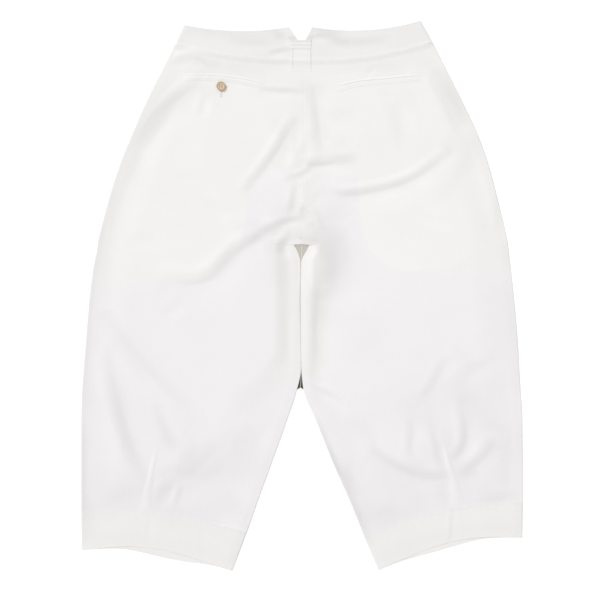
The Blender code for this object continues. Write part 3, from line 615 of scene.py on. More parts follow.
def share(name, default, description):
    """A plain factor, as a property."""
    return FloatProperty(name=name, description=description, default=default, min=0)


def colour(name, default, description):
    """A colour, as a property."""
    return FloatVectorProperty(
        name=name, description=description, default=default, size=3, min=0, max=1, subtype="COLOR"
    )


class TROUSERS_PG_cloth(bpy.types.PropertyGroup):
    leg_wall: length("Leg cloth", wall_of("front_left"), "Thickness of the leg panels")
    band_wall: length("Waistband", wall_of("waistband_front_left"), "Thickness of the waistband")
    hem_wall: length("Hem band", wall_of("hem_band_front_left"), "Thickness of the hem bands")
    bag_wall: length("Pocketing", wall_of("pocket_bag_left"), "Thickness of the pocket bags")
    lip_rise: length("Pocket lips", 0.00055, "How far the lips of the back pockets stand proud")
    loop_rise: length("Belt loop", 0.0003, "How far the belt loop stands proud")
    tuck_rise: length("Tucks", 0.0006, "How far the tucks above the hems stand proud")
    shell: length("Shell", 0.0005, "Thickness of the cloth of the back, as it is dressed")
    roll: length("Edge roll", 0.0018, "Radius of the turn of the cloth at the side seams")
    grid: length("Grid", 0.0026, "Size of the cells of the back panels")
    folds: share("Folds", 0.86, "Strength of the main folds")
    creases: share("Creases", 0.86, "Strength of the finer creases")
    spread: share("Spread", 1.14, "How much wider the folds and creases lie than their tables say")
    softness: length("Softness", 0.00028, "Height of the soft unevenness of the cloth")


class TROUSERS_PG_sewing(bpy.types.PropertyGroup):
    stitch: length("Stitch", 0.0024, "Length of one stitch")
    gap: length("Gap", 0.0008, "Gap between stitches")
    thread: length("Thread", 0.00036, "Width of the thread")
    pucker: length("Pucker", 0.00008, "Height of the ripples along the seams")
    ripple: length("Ripple", 0.011, "Length of one ripple along a seam")


class TROUSERS_PG_colours(bpy.types.PropertyGroup):
    cotton: colour("Cotton", (0.840, 0.822, 0.832), "Colour of the leg cloth")
    # This colour, of the cloth over a pocket bag, is also the warm tint of the painted shade beside the
    # inseams.
    backed_and_shade_tone: colour("Backed cotton", (0.856, 0.846, 0.832), "Colour of the cloth over a pocket bag")
    # This colour is painted shade: it tints the front dark where it shows in the crotch gap.
    shaded: colour("Shaded cotton", (0.66, 0.62, 0.56), "Colour of the front's inside, in the crotch gap")
    band: colour("Bands", (0.818, 0.809, 0.795), "Colour of the waistband, hem bands and lips")
    pocketing: colour("Pocketing", (0.70, 0.66, 0.60), "Colour of the pocket bags")
    thread: colour("Thread", (0.82, 0.81, 0.80), "Colour of the sewing thread")
    horn: colour("Button", (0.52, 0.35, 0.19), "Colour of the button's rim")
    horn_face: colour("Button face", (0.70, 0.53, 0.36), "Colour of the middle of the button")
    floor: colour("Floor", (0.40, 0.40, 0.40), "Colour of the floor, without its glow")


class TROUSERS_PG_studio(bpy.types.PropertyGroup):
    camera_height: length("Camera height", 2.5, "Height of the camera above the floor")
    view_width: length("View width", 0.9, "Width that the camera sees on the floor")
    key: share("Key", 1.80, "Strength of the main light, from the upper left")
    glow: share("Floor glow", 0.68, "Strength of the light of the floor itself, as of a light table")
    fill: share("Fill", 0.62, "Strength of the even light from all round")


PROPERTY_GROUPS = {
    "trousers_cloth": TROUSERS_PG_cloth,
    "trousers_sewing": TROUSERS_PG_sewing,
    "trousers_colours": TROUSERS_PG_colours,
    "trousers_studio": TROUSERS_PG_studio,
}


def cloth(name):
    """One of the cloth's lengths, in millimetres."""
    return getattr(bpy.context.scene.trousers_cloth, name) / MM


def sewing(name):
    """One of the sewing's lengths, in millimetres."""
    return getattr(bpy.context.scene.trousers_sewing, name) / MM


# Curves and ramps


def through(at, knots, values):
    """A smooth curve through the values at the knots, which never overshoots them (a monotone cubic)."""
    order = np.argsort(knots)
    knots = np.asarray(knots, float)[order]
    values = np.asarray(values, float)[order]
    gap = np.diff(knots)
    slope = np.diff(values) / gap
    tangent = np.concatenate([slope[:1], np.zeros(len(knots) - 2), slope[-1:]])
    for i in range(1, len(knots) - 1):
        before, after = slope[i - 1], slope[i]
        if before * after > 0:
            near, far = 2 * gap[i] + gap[i - 1], gap[i] + 2 * gap[i - 1]
            tangent[i] = (near + far) / (near / before + far / after)
    i = np.clip(np.searchsorted(knots, at) - 1, 0, len(gap) - 1)
    t = np.clip((at - knots[i]) / gap[i], 0, 1)
    start = (1 + 2 * t) * (1 - t) ** 2 * values[i] + t * (1 - t) ** 2 * gap[i] * tangent[i]
    end = t**2 * (3 - 2 * t) * values[i + 1] + t**2 * (t - 1) * gap[i] * tangent[i + 1]
    return start + end


def ramp(share):
    """0 up to 0 and 1 from 1 on, with a smooth rise between: 3s^2 - 2s^3."""
    share = np.clip(share, 0, 1)
    return share**2 * (3 - 2 * share)


def bell(away, width):
    """1 on a line and less away from it, along a bell shape: exp(-(a/w)^2)."""
    return np.exp(-((away / width) ** 2))


def round_over(distance, radius):
    """0 at an edge and 1 a radius inside it, along a quarter of an ellipse: sqrt(1 - (1 - d/r)^2)."""
    return np.sqrt(1 - np.clip(1 - distance / radius, 0, 1) ** 2)


def curve_through(places, count):
    """Points along a smooth curve through a few places, each as far along as its share of the steps."""
    places = np.asarray(places, float)
    at = np.linspace(0, len(places) - 1, count)
    held = np.vstack([2 * places[0] - places[1], places, 2 * places[-1] - places[-2]])
    i = np.minimum(at.astype(int), len(places) - 2)
    t = (at - i)[:, None]
    a, b, c, d = (held[i + k] for k in range(4))
    return 0.5 * (2 * b + (c - a) * t + (2 * a - 5 * b + 4 * c - d) * t**2 + (3 * b - a - 3 * c + d) * t**3)


def soft_noise(x, y, cell, seed):
    """Smooth unevenness from -1 to 1: seeded values on a square lattice, joined by smooth ramps."""
    size = 64
    lattice = np.random.default_rng(seed).uniform(-1, 1, (size, size))
    across, up = x / cell, y / cell
    i, j = np.floor(across).astype(int), np.floor(up).astype(int)
    s, t = ramp(across - i), ramp(up - j)
    corner = [[lattice[(j + b) % size, (i + a) % size] for a in range(2)] for b in range(2)]
    low = corner[0][0] * (1 - s) + corner[0][1] * s
    high = corner[1][0] * (1 - s) + corner[1][1] * s
    return low * (1 - t) + high * t


# The outline of the garment


def by_side(x, left, right):
    """One value on the wearer's left, and another on the right."""
    return np.where(np.asarray(x) < 0, left, right)


def read_column(rows, name, at_name, at):
    """One column of a table, read at other places along another column."""
    return through(at, [getattr(row, at_name) for row in rows], [getattr(row, name) for row in rows])


def column(side, name, at_name, at):
    """One column of a side's sections, read at other places along another column."""
    return read_column(OUTLINE[side].values(), name, at_name, at)


def edge_x(name, x, y):
    """The x of the outer or inner edge at this height, on the side that x is on."""
    return by_side(x, *(column(side, f"{name}_x", f"{name}_y", y) for side in SIDES.values()))


def section_y(section, x):
    """The y of a section at this x: a straight run less its bow."""
    share = np.clip((x - section.outer_x) / (section.inner_x - section.outer_x), 0, 1)
    straight = section.outer_y + (section.inner_y - section.outer_y) * share
    return straight - section.bow * 4 * share * (1 - share)


def seam_height(name, x):
    """The y of a named section at this x, on the side that x is on."""
    return by_side(x, *(section_y(OUTLINE[side][name], x) for side in SIDES.values()))


# The height of the back layer


def distance_to(path, x, y):
    """The distance of each place from a path of straight steps, below 0 on its right, and how far along the
    path its nearest point is."""
    nearest = np.full(x.shape, np.inf)
    along = np.zeros(x.shape)
    steps = len(path) - 1
    for i, (start, end) in enumerate(zip(path, path[1:])):
        run = end - start
        dx, dy = x - start[0], y - start[1]
        t = np.clip((dx * run[0] + dy * run[1]) / (run @ run), 0, 1)
        away = np.hypot(dx - t * run[0], dy - t * run[1])
        closer = away < np.abs(nearest)
        nearest[closer] = np.copysign(away, run[0] * dy - run[1] * dx)[closer]
        along[closer] = (i + t[closer]) / steps
    return nearest, along


def fold_relief(fold, x, y):
    """How far one fold moves the cloth, times a fade along it and a short run at its ends.

    Across it, the move is a bell-shaped trough with a low crest on each side: exp(-(s/w)^2) less
    c exp(-(|s| - 1.9)^2 / 0.6). A lean makes w smaller and c larger on the left, and w much larger and c
    smaller on the right. A trough is shifted right by 0.7 w, which puts the steepest place of its left
    wall on the path.
    """
    moved = np.zeros(x.shape)
    path = curve_through([fold.start, fold.near, fold.far, fold.end], 17)
    width = fold.width * bpy.context.scene.trousers_cloth.spread
    low, high = path.min(axis=0) - FOLD_REACH * width, path.max(axis=0) + FOLD_REACH * width
    close = (x > low[0]) & (x < high[0]) & (y > low[1]) & (y < high[1])
    if close.any():
        away, along = distance_to(path, x[close], y[close])
        shift = FOLD_SHIFT * (1 - LEAN_NARROWS * fold.lean) if fold.depth > 0 else 0
        across = away / width + shift
        lean = fold.lean * np.sign(across)
        trough = bell(across, 1 - np.where(lean > 0, LEAN_NARROWS, LEAN_WIDENS) * lean)
        crest = CREST_HEIGHT * (1 + lean) * np.exp(-((np.abs(across) - CREST_PLACE) ** 2) / CREST_SPREAD)
        from_end = np.minimum(along, 1 - along) * far_along(path)[-1]
        fade = np.sin(math.pi * along) ** FOLD_TAPER * ramp(from_end / (FOLD_END * width))
        moved[close] = -fold.depth * fade * (trough - crest)
    return moved


def rounded_reach(bag, across, y):
    """The distance of a place from the middle of a pocket bag, from its shares across and down the bag: 1 on
    the edge of a rounded square."""
    down = np.clip((bag.centre_y - y) / bag.half_length, 0, None) ** bag.squareness
    return (across**bag.squareness + down) ** (1 / bag.squareness)


def bag_reach(bag, x, y):
    """1 on the edge of a pocket bag, less inside it and more outside."""
    return rounded_reach(bag, np.abs((x - bag.centre_x) / bag.half_width), y)


def warm_shade_mask(x, y):
    """1 beside the inseams, where painted shade makes the cloth warmer and darker, and 0 away from them."""
    low, high = WARM_HEIGHTS
    low_blur, high_blur = WARM_END_BLURS
    below = ramp((WARM_NARROWS - y) / WARM_NARROWING)
    reach = WARM_REACH_ABOVE + (WARM_REACH - WARM_REACH_ABOVE) * below
    ragged = WARM_RAGGED * soft_noise(x, y, cell=15, seed=6)
    beside = ramp((reach + ragged - np.abs(x)) / WARM_BLUR)
    return beside * ramp((y + ragged - low) / low_blur) * ramp((high - y) / high_blur)


def shade_at(x, y):
    """How much painted shade darkens the cloth: the sum of the greys, each a bell shape across its path."""
    total = WARM_SHADE * warm_shade_mask(x, y)
    for shade in SHADES:
        away, along = distance_to(curve_through([shade.start, shade.near, shade.far, shade.end], 9), x, y)
        total += shade.strength * bell(away, shade.width) * np.sin(math.pi * along) ** SHADE_TAPER
    return total


def covered(name, x, y):
    """1 where the bag of a side pocket lies behind the cloth, up to the side seam."""
    bag = BAGS[name]
    inward = np.clip((abs(bag.centre_x) - np.abs(x)) / bag.half_width, 0, None)
    from_edge = (rounded_reach(bag, inward, y) - 1) * bag.half_width
    blur = BAG_BLUR + BAG_BLUR_GROWS * np.clip(np.abs(x) - abs(bag.centre_x), 0, None)
    ragged = BAG_RAGGED * soft_noise(x, y, cell=24, seed=5)
    return np.maximum(ramp(0.5 - from_edge / blur), ramp((y - BAG_SHOWS_FROM + ragged) / BAG_SHOWS_BLUR))


def extra_layers(x, y):
    """How much higher than one layer of leg cloth the pieces under the back reach: bands and pocket bags."""
    leg = cloth("leg_wall")
    band_edge = seam_height("waist seam", x) - FRONT_SEAM_DIP - BAND_REACH
    band = (cloth("band_wall") - leg) * ramp((y - band_edge) / LAYER_SLOPE + 1)
    hem_edge = seam_height("hem seam", x) + HEM_REACH
    hem = (cloth("hem_wall") - leg) * ramp((hem_edge - y) / LAYER_SLOPE + 1)
    bags = sum(ramp((1 + 2 * BAG_MARGIN - bag_reach(bag, x, y)) / BAG_MARGIN) for bag in BAGS.values())
    pockets = (cloth("bag_wall") + LAY) * bags * ramp((BAG_TOP + BAG_TOP_REACH - y) / BAG_TOP_SLOPE)
    return np.maximum(np.maximum(band, hem), pockets)


def from_edges(x, y):
    """How far each place is from the side seam, and from the inseam or, above the crotch, from its corner."""
    outer = np.abs(x - edge_x("outer", x, y))
    corner = OUTLINE[-1]["crotch corner"]
    up = (y - corner.inner_y) * ABOVE_CROTCH
    from_corner = np.hypot(np.clip(np.abs(x) - abs(corner.inner_x), 0, None), up)
    return outer, np.where(up > 0, from_corner, np.abs(x - edge_x("inner", x, y)))


def loft_column(name, y):
    """One column of the lofts, read at these heights."""
    return read_column(LOFTS, name, "y", y)


def lift_at(x, y, outer, inner):
    """How far the back lifts off the front: the loft's lift, times a smooth rise from each edge."""
    strip, slope = (
        by_side(x, *(loft_column(f"{name}_{part}", y) for name in SIDES)) for part in ("strip", "slope")
    )
    return loft_column("lift", y) * ramp(outer / OUTER_SLOPE) * ramp((inner - strip) / slope)


def fine_relief(x, y):
    """The finer creases, the print of the pocket bags and a soft unevenness of three sizes."""
    creases = bpy.context.scene.trousers_cloth.creases
    relief = creases * sum(fold_relief(crease, x, y) for crease in CREASES.values())
    for bag in BAGS.values():
        from_edge = (bag_reach(bag, x, y) - 1) * bag.half_width
        relief += BAG_PRINT * ramp((bag.centre_y - y) / BAG_PRINT_FADE) * bell(from_edge, BAG_PRINT_WIDTH)
    uneven = sum(part * soft_noise(x, y, cell, seed) for cell, seed, part in UNEVENNESS)
    return relief + cloth("softness") * uneven


def edge_fade(outer, inner):
    """0 on the side seams and inseams and 1 a little inside them."""
    return ramp(outer / FOLD_FADE) * ramp(inner / FOLD_FADE)


def larger(a, b):
    """The larger of two heights, rounded where they cross: (a + b + sqrt((a - b)^2 + softest^2)) / 2."""
    return 0.5 * (a + b + np.sqrt((a - b) ** 2 + SOFTEST**2))


def back_underside(x, y):
    """The height of the underside of the back layer: the lift and the folds, over the layers below."""
    outer, inner = from_edges(x, y)
    folds = bpy.context.scene.trousers_cloth.folds * sum(fold_relief(fold, x, y) for fold in FOLDS.values())
    loft = lift_at(x, y, outer, inner) + edge_fade(outer, inner) * (folds + fine_relief(x, y))
    return cloth("leg_wall") + LAY + larger(extra_layers(x, y), loft)


def pucker(distance, along):
    """Small ripples beside a seam: a wandering wave along it that dies away with the distance from it."""
    turns = 2 * math.pi * along / sewing("ripple")
    wave = np.sin(turns + PUCKER_WANDER * np.sin(turns / PUCKER_PERIOD))
    return sewing("pucker") * wave * np.exp(-np.abs(distance) / PUCKER_REACH)


def leg_face(x, y):
    """The height of the outer face of the back legs: pucker beside the seams that cross them, and a rise to
    the waistband and to the ridge of its seam."""
    below_waist = seam_height("waist seam", x) - y
    seams = pucker(y - seam_height("hem seam", x), x) + pucker(below_waist, x + WAIST_PHASE)
    centre = CENTRE_PUCKER * pucker(x, y) * ramp((y - CENTRE_PUCKER_FROM) / CENTRE_PUCKER_GROWS)
    rise = (cloth("band_wall") - cloth("leg_wall")) * ramp(1 - below_waist / WAIST_RISE)
    rise += SEAM_RIDGE * bell(below_waist, RIDGE_BELOW)
    return back_underside(x, y) + cloth("leg_wall") + rise + (seams + centre) * edge_fade(*from_edges(x, y))


def waist_face(x, y):
    """The height of the outer face of the back waistband, which swells towards the ridge of its seam."""
    above_seam = y - seam_height("waist seam", x)
    swell = SEAM_RIDGE * bell(above_seam, RIDGE_ABOVE)
    ripples = pucker(above_seam, x + WAIST_PHASE) + pucker(seam_height("waist top", x) - y, x)
    return back_underside(x, y) + cloth("band_wall") + swell + ripples


def hem_face(x, y):
    """The height of the outer face of the back hem bands, which lie close on the front at their edge."""
    drop = HEM_EDGE_DROP * ramp(1 - (y - seam_height("hem edge", x)) / HEM_DROP_HEIGHT)
    ripples = pucker(y - seam_height("hem seam", x), x) * edge_fade(*from_edges(x, y))
    return back_underside(x, y) + cloth("leg_wall") - drop + ripples


# Plans: grids of places, with a row for each section and a column for each share of its length

Plan = namedtuple("Plan", "x y outer inner")


def even_steps(first, last, step, margin=0.8):
    """Places from one end to the other, about a step apart, with one more close inside each end."""
    way = 1 if last > first else -1
    count = max(2, round(abs(last - first) / step))
    inside = np.linspace(first, last, count + 1)[1:-1]
    return np.concatenate([[first, first + way * margin], inside, [last - way * margin, last]])


def roll_crowd(radius):
    """How far from an edge the columns of its turn are: they crowd as the angles of a quarter circle do."""
    return radius * (1 - np.cos(np.linspace(0, math.pi / 2, ROLL_COLUMNS)))


def plan_between(
    side, first, last, step, edge, foot_gap=SEAM / 2, outer_inset=0.0, inner_inset=np.zeros_like, reach=None
):
    """The plan of a panel from one named section to another, with the turn of its edges of this radius.

    Its edges lie inside the outline by their insets, or follow the inner x that reach gives. Its rows are
    about a step apart, and keep half a seam clear of the first section and the foot gap of the last.
    """
    table = OUTLINE[side]
    outer_y = even_steps(table[first].outer_y - SEAM / 2, table[last].outer_y + foot_gap, step)
    outer_x, inner_x, inner_y, bow = (
        column(side, name, "outer_y", outer_y) for name in ("outer_x", "inner_x", "inner_y", "bow")
    )
    inset = inner_inset(inner_y)
    if reach:
        inner_x = reach(inner_x, inner_y)
    width = np.abs(inner_x - outer_x)
    clear = width - outer_inset - inset
    crowd = roll_crowd(edge)
    count = max(2, round((clear.mean() - 2 * edge) / step))
    middle = np.linspace(0, 1, count + 1)[1:-1]
    from_outer = outer_inset + np.concatenate(
        [
            np.broadcast_to(crowd, (len(clear), ROLL_COLUMNS)),
            edge + (clear[:, None] - 2 * edge) * middle,
            clear[:, None] - crowd[::-1],
        ],
        axis=1,
    )
    along = from_outer / width[:, None]
    x = outer_x[:, None] + (inner_x - outer_x)[:, None] * along
    y = outer_y[:, None] + (inner_y - outer_y)[:, None] * along - bow[:, None] * 4 * along * (1 - along)
    return Plan(x, y, from_outer, width[:, None] - from_outer)


def plan_shares(plan):
    """How far across a plan each place is, from the outer edge to the inner, and how far down it."""
    return plan.outer / (plan.outer + plan.inner), (plan.y[:1] - plan.y) / (plan.y[:1] - plan.y[-1:])


def loft_plan(first, last, shares):
    """The plan of a piece whose rows run straight from one edge to another, each edge given as (x, y)."""
    shares = np.asarray(shares)[:, None]
    return tuple(a + (b - a) * shares for a, b in zip(first, last))


def waistband_top(side, count):
    """The top edge of a half of the back waistband, with its half of the notch."""
    section = OUTLINE[side]["waist top"]
    to_notch = side * NOTCH_HALF_WIDTH[side]
    turn = section.outer_x - side * roll_crowd(cloth("band_wall") * 2)[:-1]
    x = np.concatenate([turn, np.linspace(section.outer_x - side * BAND_TURN, to_notch, count)])
    y = section_y(section._replace(inner_x=to_notch), x)
    down = np.linspace(0, 1, 12)[1:]
    notch_x = to_notch + (section.inner_x - to_notch) * down
    return np.append(x, notch_x), np.append(y, section.inner_y - NOTCH_DEPTH * down)


def waistband_foot(side, top_x):
    """The lower edge of a half of the back waistband, column by column below its top edge."""
    section = OUTLINE[side]["waist seam"]
    share = (top_x - top_x[0]) / (top_x[-1] - top_x[0])
    x = section.outer_x + (section.inner_x - section.outer_x) * share
    return x, section_y(section, x) + SEAM / 2


# Mesh makers


def grid_faces(rows, columns):
    """The four-cornered faces of a grid of points, row after row."""
    corner = np.arange(rows * columns).reshape(rows, columns)
    faces = [corner[:-1, :-1], corner[:-1, 1:], corner[1:, 1:], corner[1:, :-1]]
    return np.stack(faces, axis=-1).reshape(-1, 4)


def mesh_from(name, points, faces):
    """A smooth mesh from arrays of points, in millimetres, and faces."""
    mesh = bpy.data.meshes.new(name)
    mesh.from_pydata((np.asarray(points, float) * MM).tolist(), [], [list(face) for face in faces])
    mesh.polygons.foreach_set("use_smooth", [True] * len(mesh.polygons))
    return mesh


def add_piece(name, mesh, finish, replaced=()):
    """A named piece of the garment, which rides on its body and stands for nodes of the frame."""
    mesh.materials.append(finish)
    piece = bpy.data.objects.new(name, mesh)
    bpy.context.scene.collection.objects.link(piece)
    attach(piece, "root")
    if replaced:
        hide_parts(*replaced)
    return piece


def cloth_piece(
    name, x, y, z, wall, finish, replaced, bevel=0.35, marks=None, flat=None
):
    """A cloth shell: the outer face is the grid (x, y, z), Solidify gives it its wall inwards, and Bevel
    rounds its rims."""
    rows, columns = x.shape
    faces = grid_faces(rows, columns)
    points = np.stack([x, y, np.broadcast_to(z, x.shape)], axis=-1).reshape(-1, 3)
    first = points[faces[0]]
    if np.cross(first[1] - first[0], first[2] - first[0])[2] < 0:
        faces = faces[:, ::-1]
    mesh = mesh_from(name, points, faces)
    for mark, values in (marks or {}).items():
        layer = mesh.attributes.new(mark, "FLOAT", "POINT")
        layer.data.foreach_set("value", np.broadcast_to(values, x.shape).astype(np.float32).ravel())
    piece = add_piece(name, mesh, finish, replaced)
    thick = piece.modifiers.new("wall", "SOLIDIFY")
    thick.thickness = wall * MM
    thick.offset = -1
    if bevel:
        rounded = piece.modifiers.new("rims", "BEVEL")
        rounded.width = bevel * MM
        rounded.segments = 2
        rounded.limit_method = "ANGLE"
        rounded.angle_limit = RIM_ANGLE
    size = flat or (np.ptp(x), np.ptp(y))
    size = tuple(float(side) * MM for side in size)
    return piece


def sharpen_rims(mesh, shape, rows=1, columns=1):
    """Marks a grid's end rows and end columns as sharp, so that its face keeps its own light up to them."""
    inner = np.zeros(shape, bool)
    inner[rows : shape[0] - rows, columns : shape[1] - columns] = True
    inner = inner.ravel()
    ends = np.empty(2 * len(mesh.edges), np.int32)
    mesh.edges.foreach_get("vertices", ends)
    ends = ends.reshape(-1, 2)
    mark = mesh.attributes.new("sharp_edge", "BOOLEAN", "EDGE")
    mark.data.foreach_set("value", ~(inner[ends[:, 0]] | inner[ends[:, 1]]))


def far_along(path):
    """How far along a path each of its places is."""
    return np.concatenate([[0], np.cumsum(np.hypot(*np.diff(path, axis=0).T))])


def stitch_template():
    """A short thread with round ends, one unit long, half a unit to each side and up: rings of six points
    along X, closed by a point at each end."""
    around = np.linspace(0, 2 * math.pi, 7)[:-1]
    rings = [(-0.36, 0.8), (0, 1), (0.36, 0.8)]
    points = [(-0.5, 0, -0.3)]
    points += [(at, wide * math.cos(a), wide * math.sin(a)) for at, wide in rings for a in around]
    points.append((0.5, 0, -0.3))
    faces = []
    for k in range(6):
        n = (k + 1) % 6
        faces.append((0, 1 + n, 1 + k))
        faces += [(1 + 6 * r + k, 1 + 6 * r + n, 7 + 6 * r + n, 7 + 6 * r + k) for r in range(2)]
        faces.append((13 + k, 13 + n, 19))
    return np.array(points, float), faces


def stitch_ends(path, face, pitch, rise):
    """The two ends of each stitch along a path, on the surface whose height is face(x, y)."""
    path = np.asarray(path, float)
    far = far_along(path)
    count = max(1, int(far[-1] // pitch))
    start = (far[-1] - count * pitch) / 2
    middle = start + pitch * (np.arange(count) + 0.5)
    half = sewing("stitch") / 2 * pitch / (sewing("stitch") + sewing("gap"))
    ends = []
    for at in (middle - half, middle + half):
        x, y = np.interp(at, far, path[:, 0]), np.interp(at, far, path[:, 1])
        ends.append(np.stack([x, y, face(x, y) + rise], axis=-1))
    return ends


def threads_between(name, starts, ends, width, slot="cotton", under=False):
    """One piece with a thread from each start to its end, raised above the cloth, or below it if under."""
    template, faces = stitch_template()
    run = ends - starts
    aside = np.cross((0.0, 0.0, -1.0 if under else 1.0), run)
    aside /= np.linalg.norm(aside, axis=1, keepdims=True)
    up = np.cross(run, aside)
    up /= np.linalg.norm(up, axis=1, keepdims=True)
    axes = np.stack([run, aside * width / 2, up * width / 2], axis=1)
    points = ((starts + ends) / 2)[:, None] + template @ axes
    count = len(template)
    shifted = [tuple(i + count * n for i in face) for n in range(len(starts)) for face in faces]
    add_piece(name, mesh_from(name, points.reshape(-1, 3), shifted), thread())


def add_stitches(name, rows, under=False):
    """One piece with every row of stitches, each row given as (path, face)."""
    pitch = sewing("stitch") + sewing("gap")
    rise = -STITCH_BELOW if under else STITCH_ABOVE
    ends = [stitch_ends(path, face, pitch, rise) for path, face in rows]
    starts, stops = (np.concatenate([pair[k] for pair in ends]) for k in range(2))
    threads_between(name, starts, stops, sewing("thread"), under=under)


# Materials


def feed(tree, node, inputs):
    """Gives a node's inputs their values, or the sockets that feed them."""
    for name, value in inputs.items():
        if isinstance(value, bpy.types.NodeSocket):
            tree.links.new(value, node.inputs[name])
        else:
            node.inputs[name].default_value = value


def add_node(tree, kind, inputs=None, **settings):
    """The outputs of a node with these inputs and settings."""
    made = tree.nodes.new(kind)
    for name, value in settings.items():
        setattr(made, name, value)
    feed(tree, made, inputs or {})
    return made.outputs


def object_place(tree):
    """The place of a point in its object."""
    return add_node(tree, "ShaderNodeTexCoord")["Object"]


def mark_value(tree, name):
    """The value of a mark that the mesh carries."""
    return add_node(tree, "ShaderNodeAttribute", attribute_name=name)["Fac"]


def maths(tree, operation, a, b=0.0):
    """The result of a sum on two values or sockets."""
    return add_node(tree, "ShaderNodeMath", {0: a, 1: b}, operation=operation)[0]


def blended(tree, factor, low, high):
    """A colour between two, each a colour or a socket."""
    return add_node(tree, "ShaderNodeMix", {0: factor, 6: low, 7: high}, data_type="RGBA")[2]


def noise(tree, vector, scale, detail):
    """The value of a noise, from 0 to 1."""
    return add_node(tree, "ShaderNodeTexNoise", {"Vector": vector, "Scale": scale, "Detail": detail})["Fac"]


def ranged(tree, value, start=(0.0, 1.0), end=(0.0, 1.0)):
    """A value moved from one range to another."""
    limits = dict(zip(("From Min", "From Max", "To Min", "To Max"), start + end))
    return add_node(tree, "ShaderNodeMapRange", {"Value": value, **limits})[0]


def bumped(tree, height, strength, distance):
    """The normal of a surface with bumps of this height."""
    inputs = {"Height": height, "Strength": strength, "Distance": distance}
    return add_node(tree, "ShaderNodeBump", inputs)[0]


def new_group(name, output, **numbers):
    """A shader node group that takes a vector and these numbers and gives a number: its tree and sockets."""
    tree = bpy.data.node_groups.new(name, "ShaderNodeTree")
    tree.interface.new_socket(name="Vector", in_out="INPUT", socket_type="NodeSocketVector")
    for socket, value in numbers.items():
        made = tree.interface.new_socket(name=socket, in_out="INPUT", socket_type="NodeSocketFloat")
        made.default_value = value
    tree.interface.new_socket(name=output, in_out="OUTPUT", socket_type="NodeSocketFloat")
    return tree, tree.nodes.new("NodeGroupInput").outputs, tree.nodes.new("NodeGroupOutput").inputs[0]


def weave_group(name):
    """Plain weave: the product of two sine waves, one across each set of threads, with uneven threads."""
    tree, given, out = new_group(name, "Height", Threads=3200.0)
    wander = noise(tree, given["Vector"], scale=90.0, detail=2.0)
    parts = add_node(tree, "ShaderNodeSeparateXYZ", {0: given["Vector"]})
    waves = []
    for axis in ("X", "Y"):
        turns = maths(tree, "ADD", maths(tree, "MULTIPLY", parts[axis], given["Threads"]), wander)
        waves.append(maths(tree, "SINE", maths(tree, "MULTIPLY", turns, math.pi)))
    product = maths(tree, "MULTIPLY", *waves)
    tree.links.new(maths(tree, "MULTIPLY_ADD", product, 0.5), out)
    return tree


def slub_group(name):
    """Thicker yarns here and there: noise drawn out along each set of threads, kept where it is strongest."""
    tree, given, out = new_group(name, "Mask", Along=26.0, Across=520.0)
    scale = add_node(tree, "ShaderNodeCombineXYZ", {0: given["Across"], 1: given["Along"], 2: 0.0})[0]
    masks = []
    for turn, weight in ((0.0, 1.0), (math.pi / 2, 0.7)):
        turned = add_node(tree, "ShaderNodeMapping", {"Vector": given["Vector"], "Rotation": (0, 0, turn)})[0]
        drawn = add_node(tree, "ShaderNodeVectorMath", {0: turned, 1: scale}, operation="MULTIPLY")[0]
        strong = ranged(tree, noise(tree, drawn, scale=1.0, detail=1.0), (0.52, 0.78))
        masks.append(maths(tree, "MULTIPLY", strong, weight))
    tree.links.new(maths(tree, "MAXIMUM", *masks), out)
    return tree


def mottle_group(name):
    """Soft changes of tone in a washed cloth: noise of two sizes."""
    tree, given, out = new_group(name, "Mask", Size=14.0)
    broad = noise(tree, given["Vector"], scale=given["Size"], detail=3.0)
    fine = noise(tree, given["Vector"], scale=420.0, detail=2.0)
    mixed = maths(tree, "ADD", maths(tree, "MULTIPLY", fine, 0.35), broad)
    tree.links.new(ranged(tree, mixed, (0.42, 0.92)), out)
    return tree


GROUPS = {"plain weave": weave_group, "slub": slub_group, "mottle": mottle_group}


def group_value(tree, name, **inputs):
    """The value that a shared node group gives. The group is made once."""
    shared = bpy.data.node_groups.get(name) or GROUPS[name](name)
    return add_node(tree, "ShaderNodeGroup", inputs, node_tree=shared)[0]


def material(name, inputs_of):
    """The material of this name, made once with the shader inputs that a function of its tree gives."""
    made = bpy.data.materials.get(name)
    if not made:
        made = bpy.data.materials.new(name)
        made.use_nodes = True
        tree = made.node_tree
        feed(tree, tree.nodes["Principled BSDF"], inputs_of(tree))
    return made


def colours():
    """The colours that a user may change."""
    return bpy.context.scene.trousers_colours


def darker(tone, by):
    """A colour made darker by a share."""
    return (*(part * (1 - by) for part in tone), 1.0)


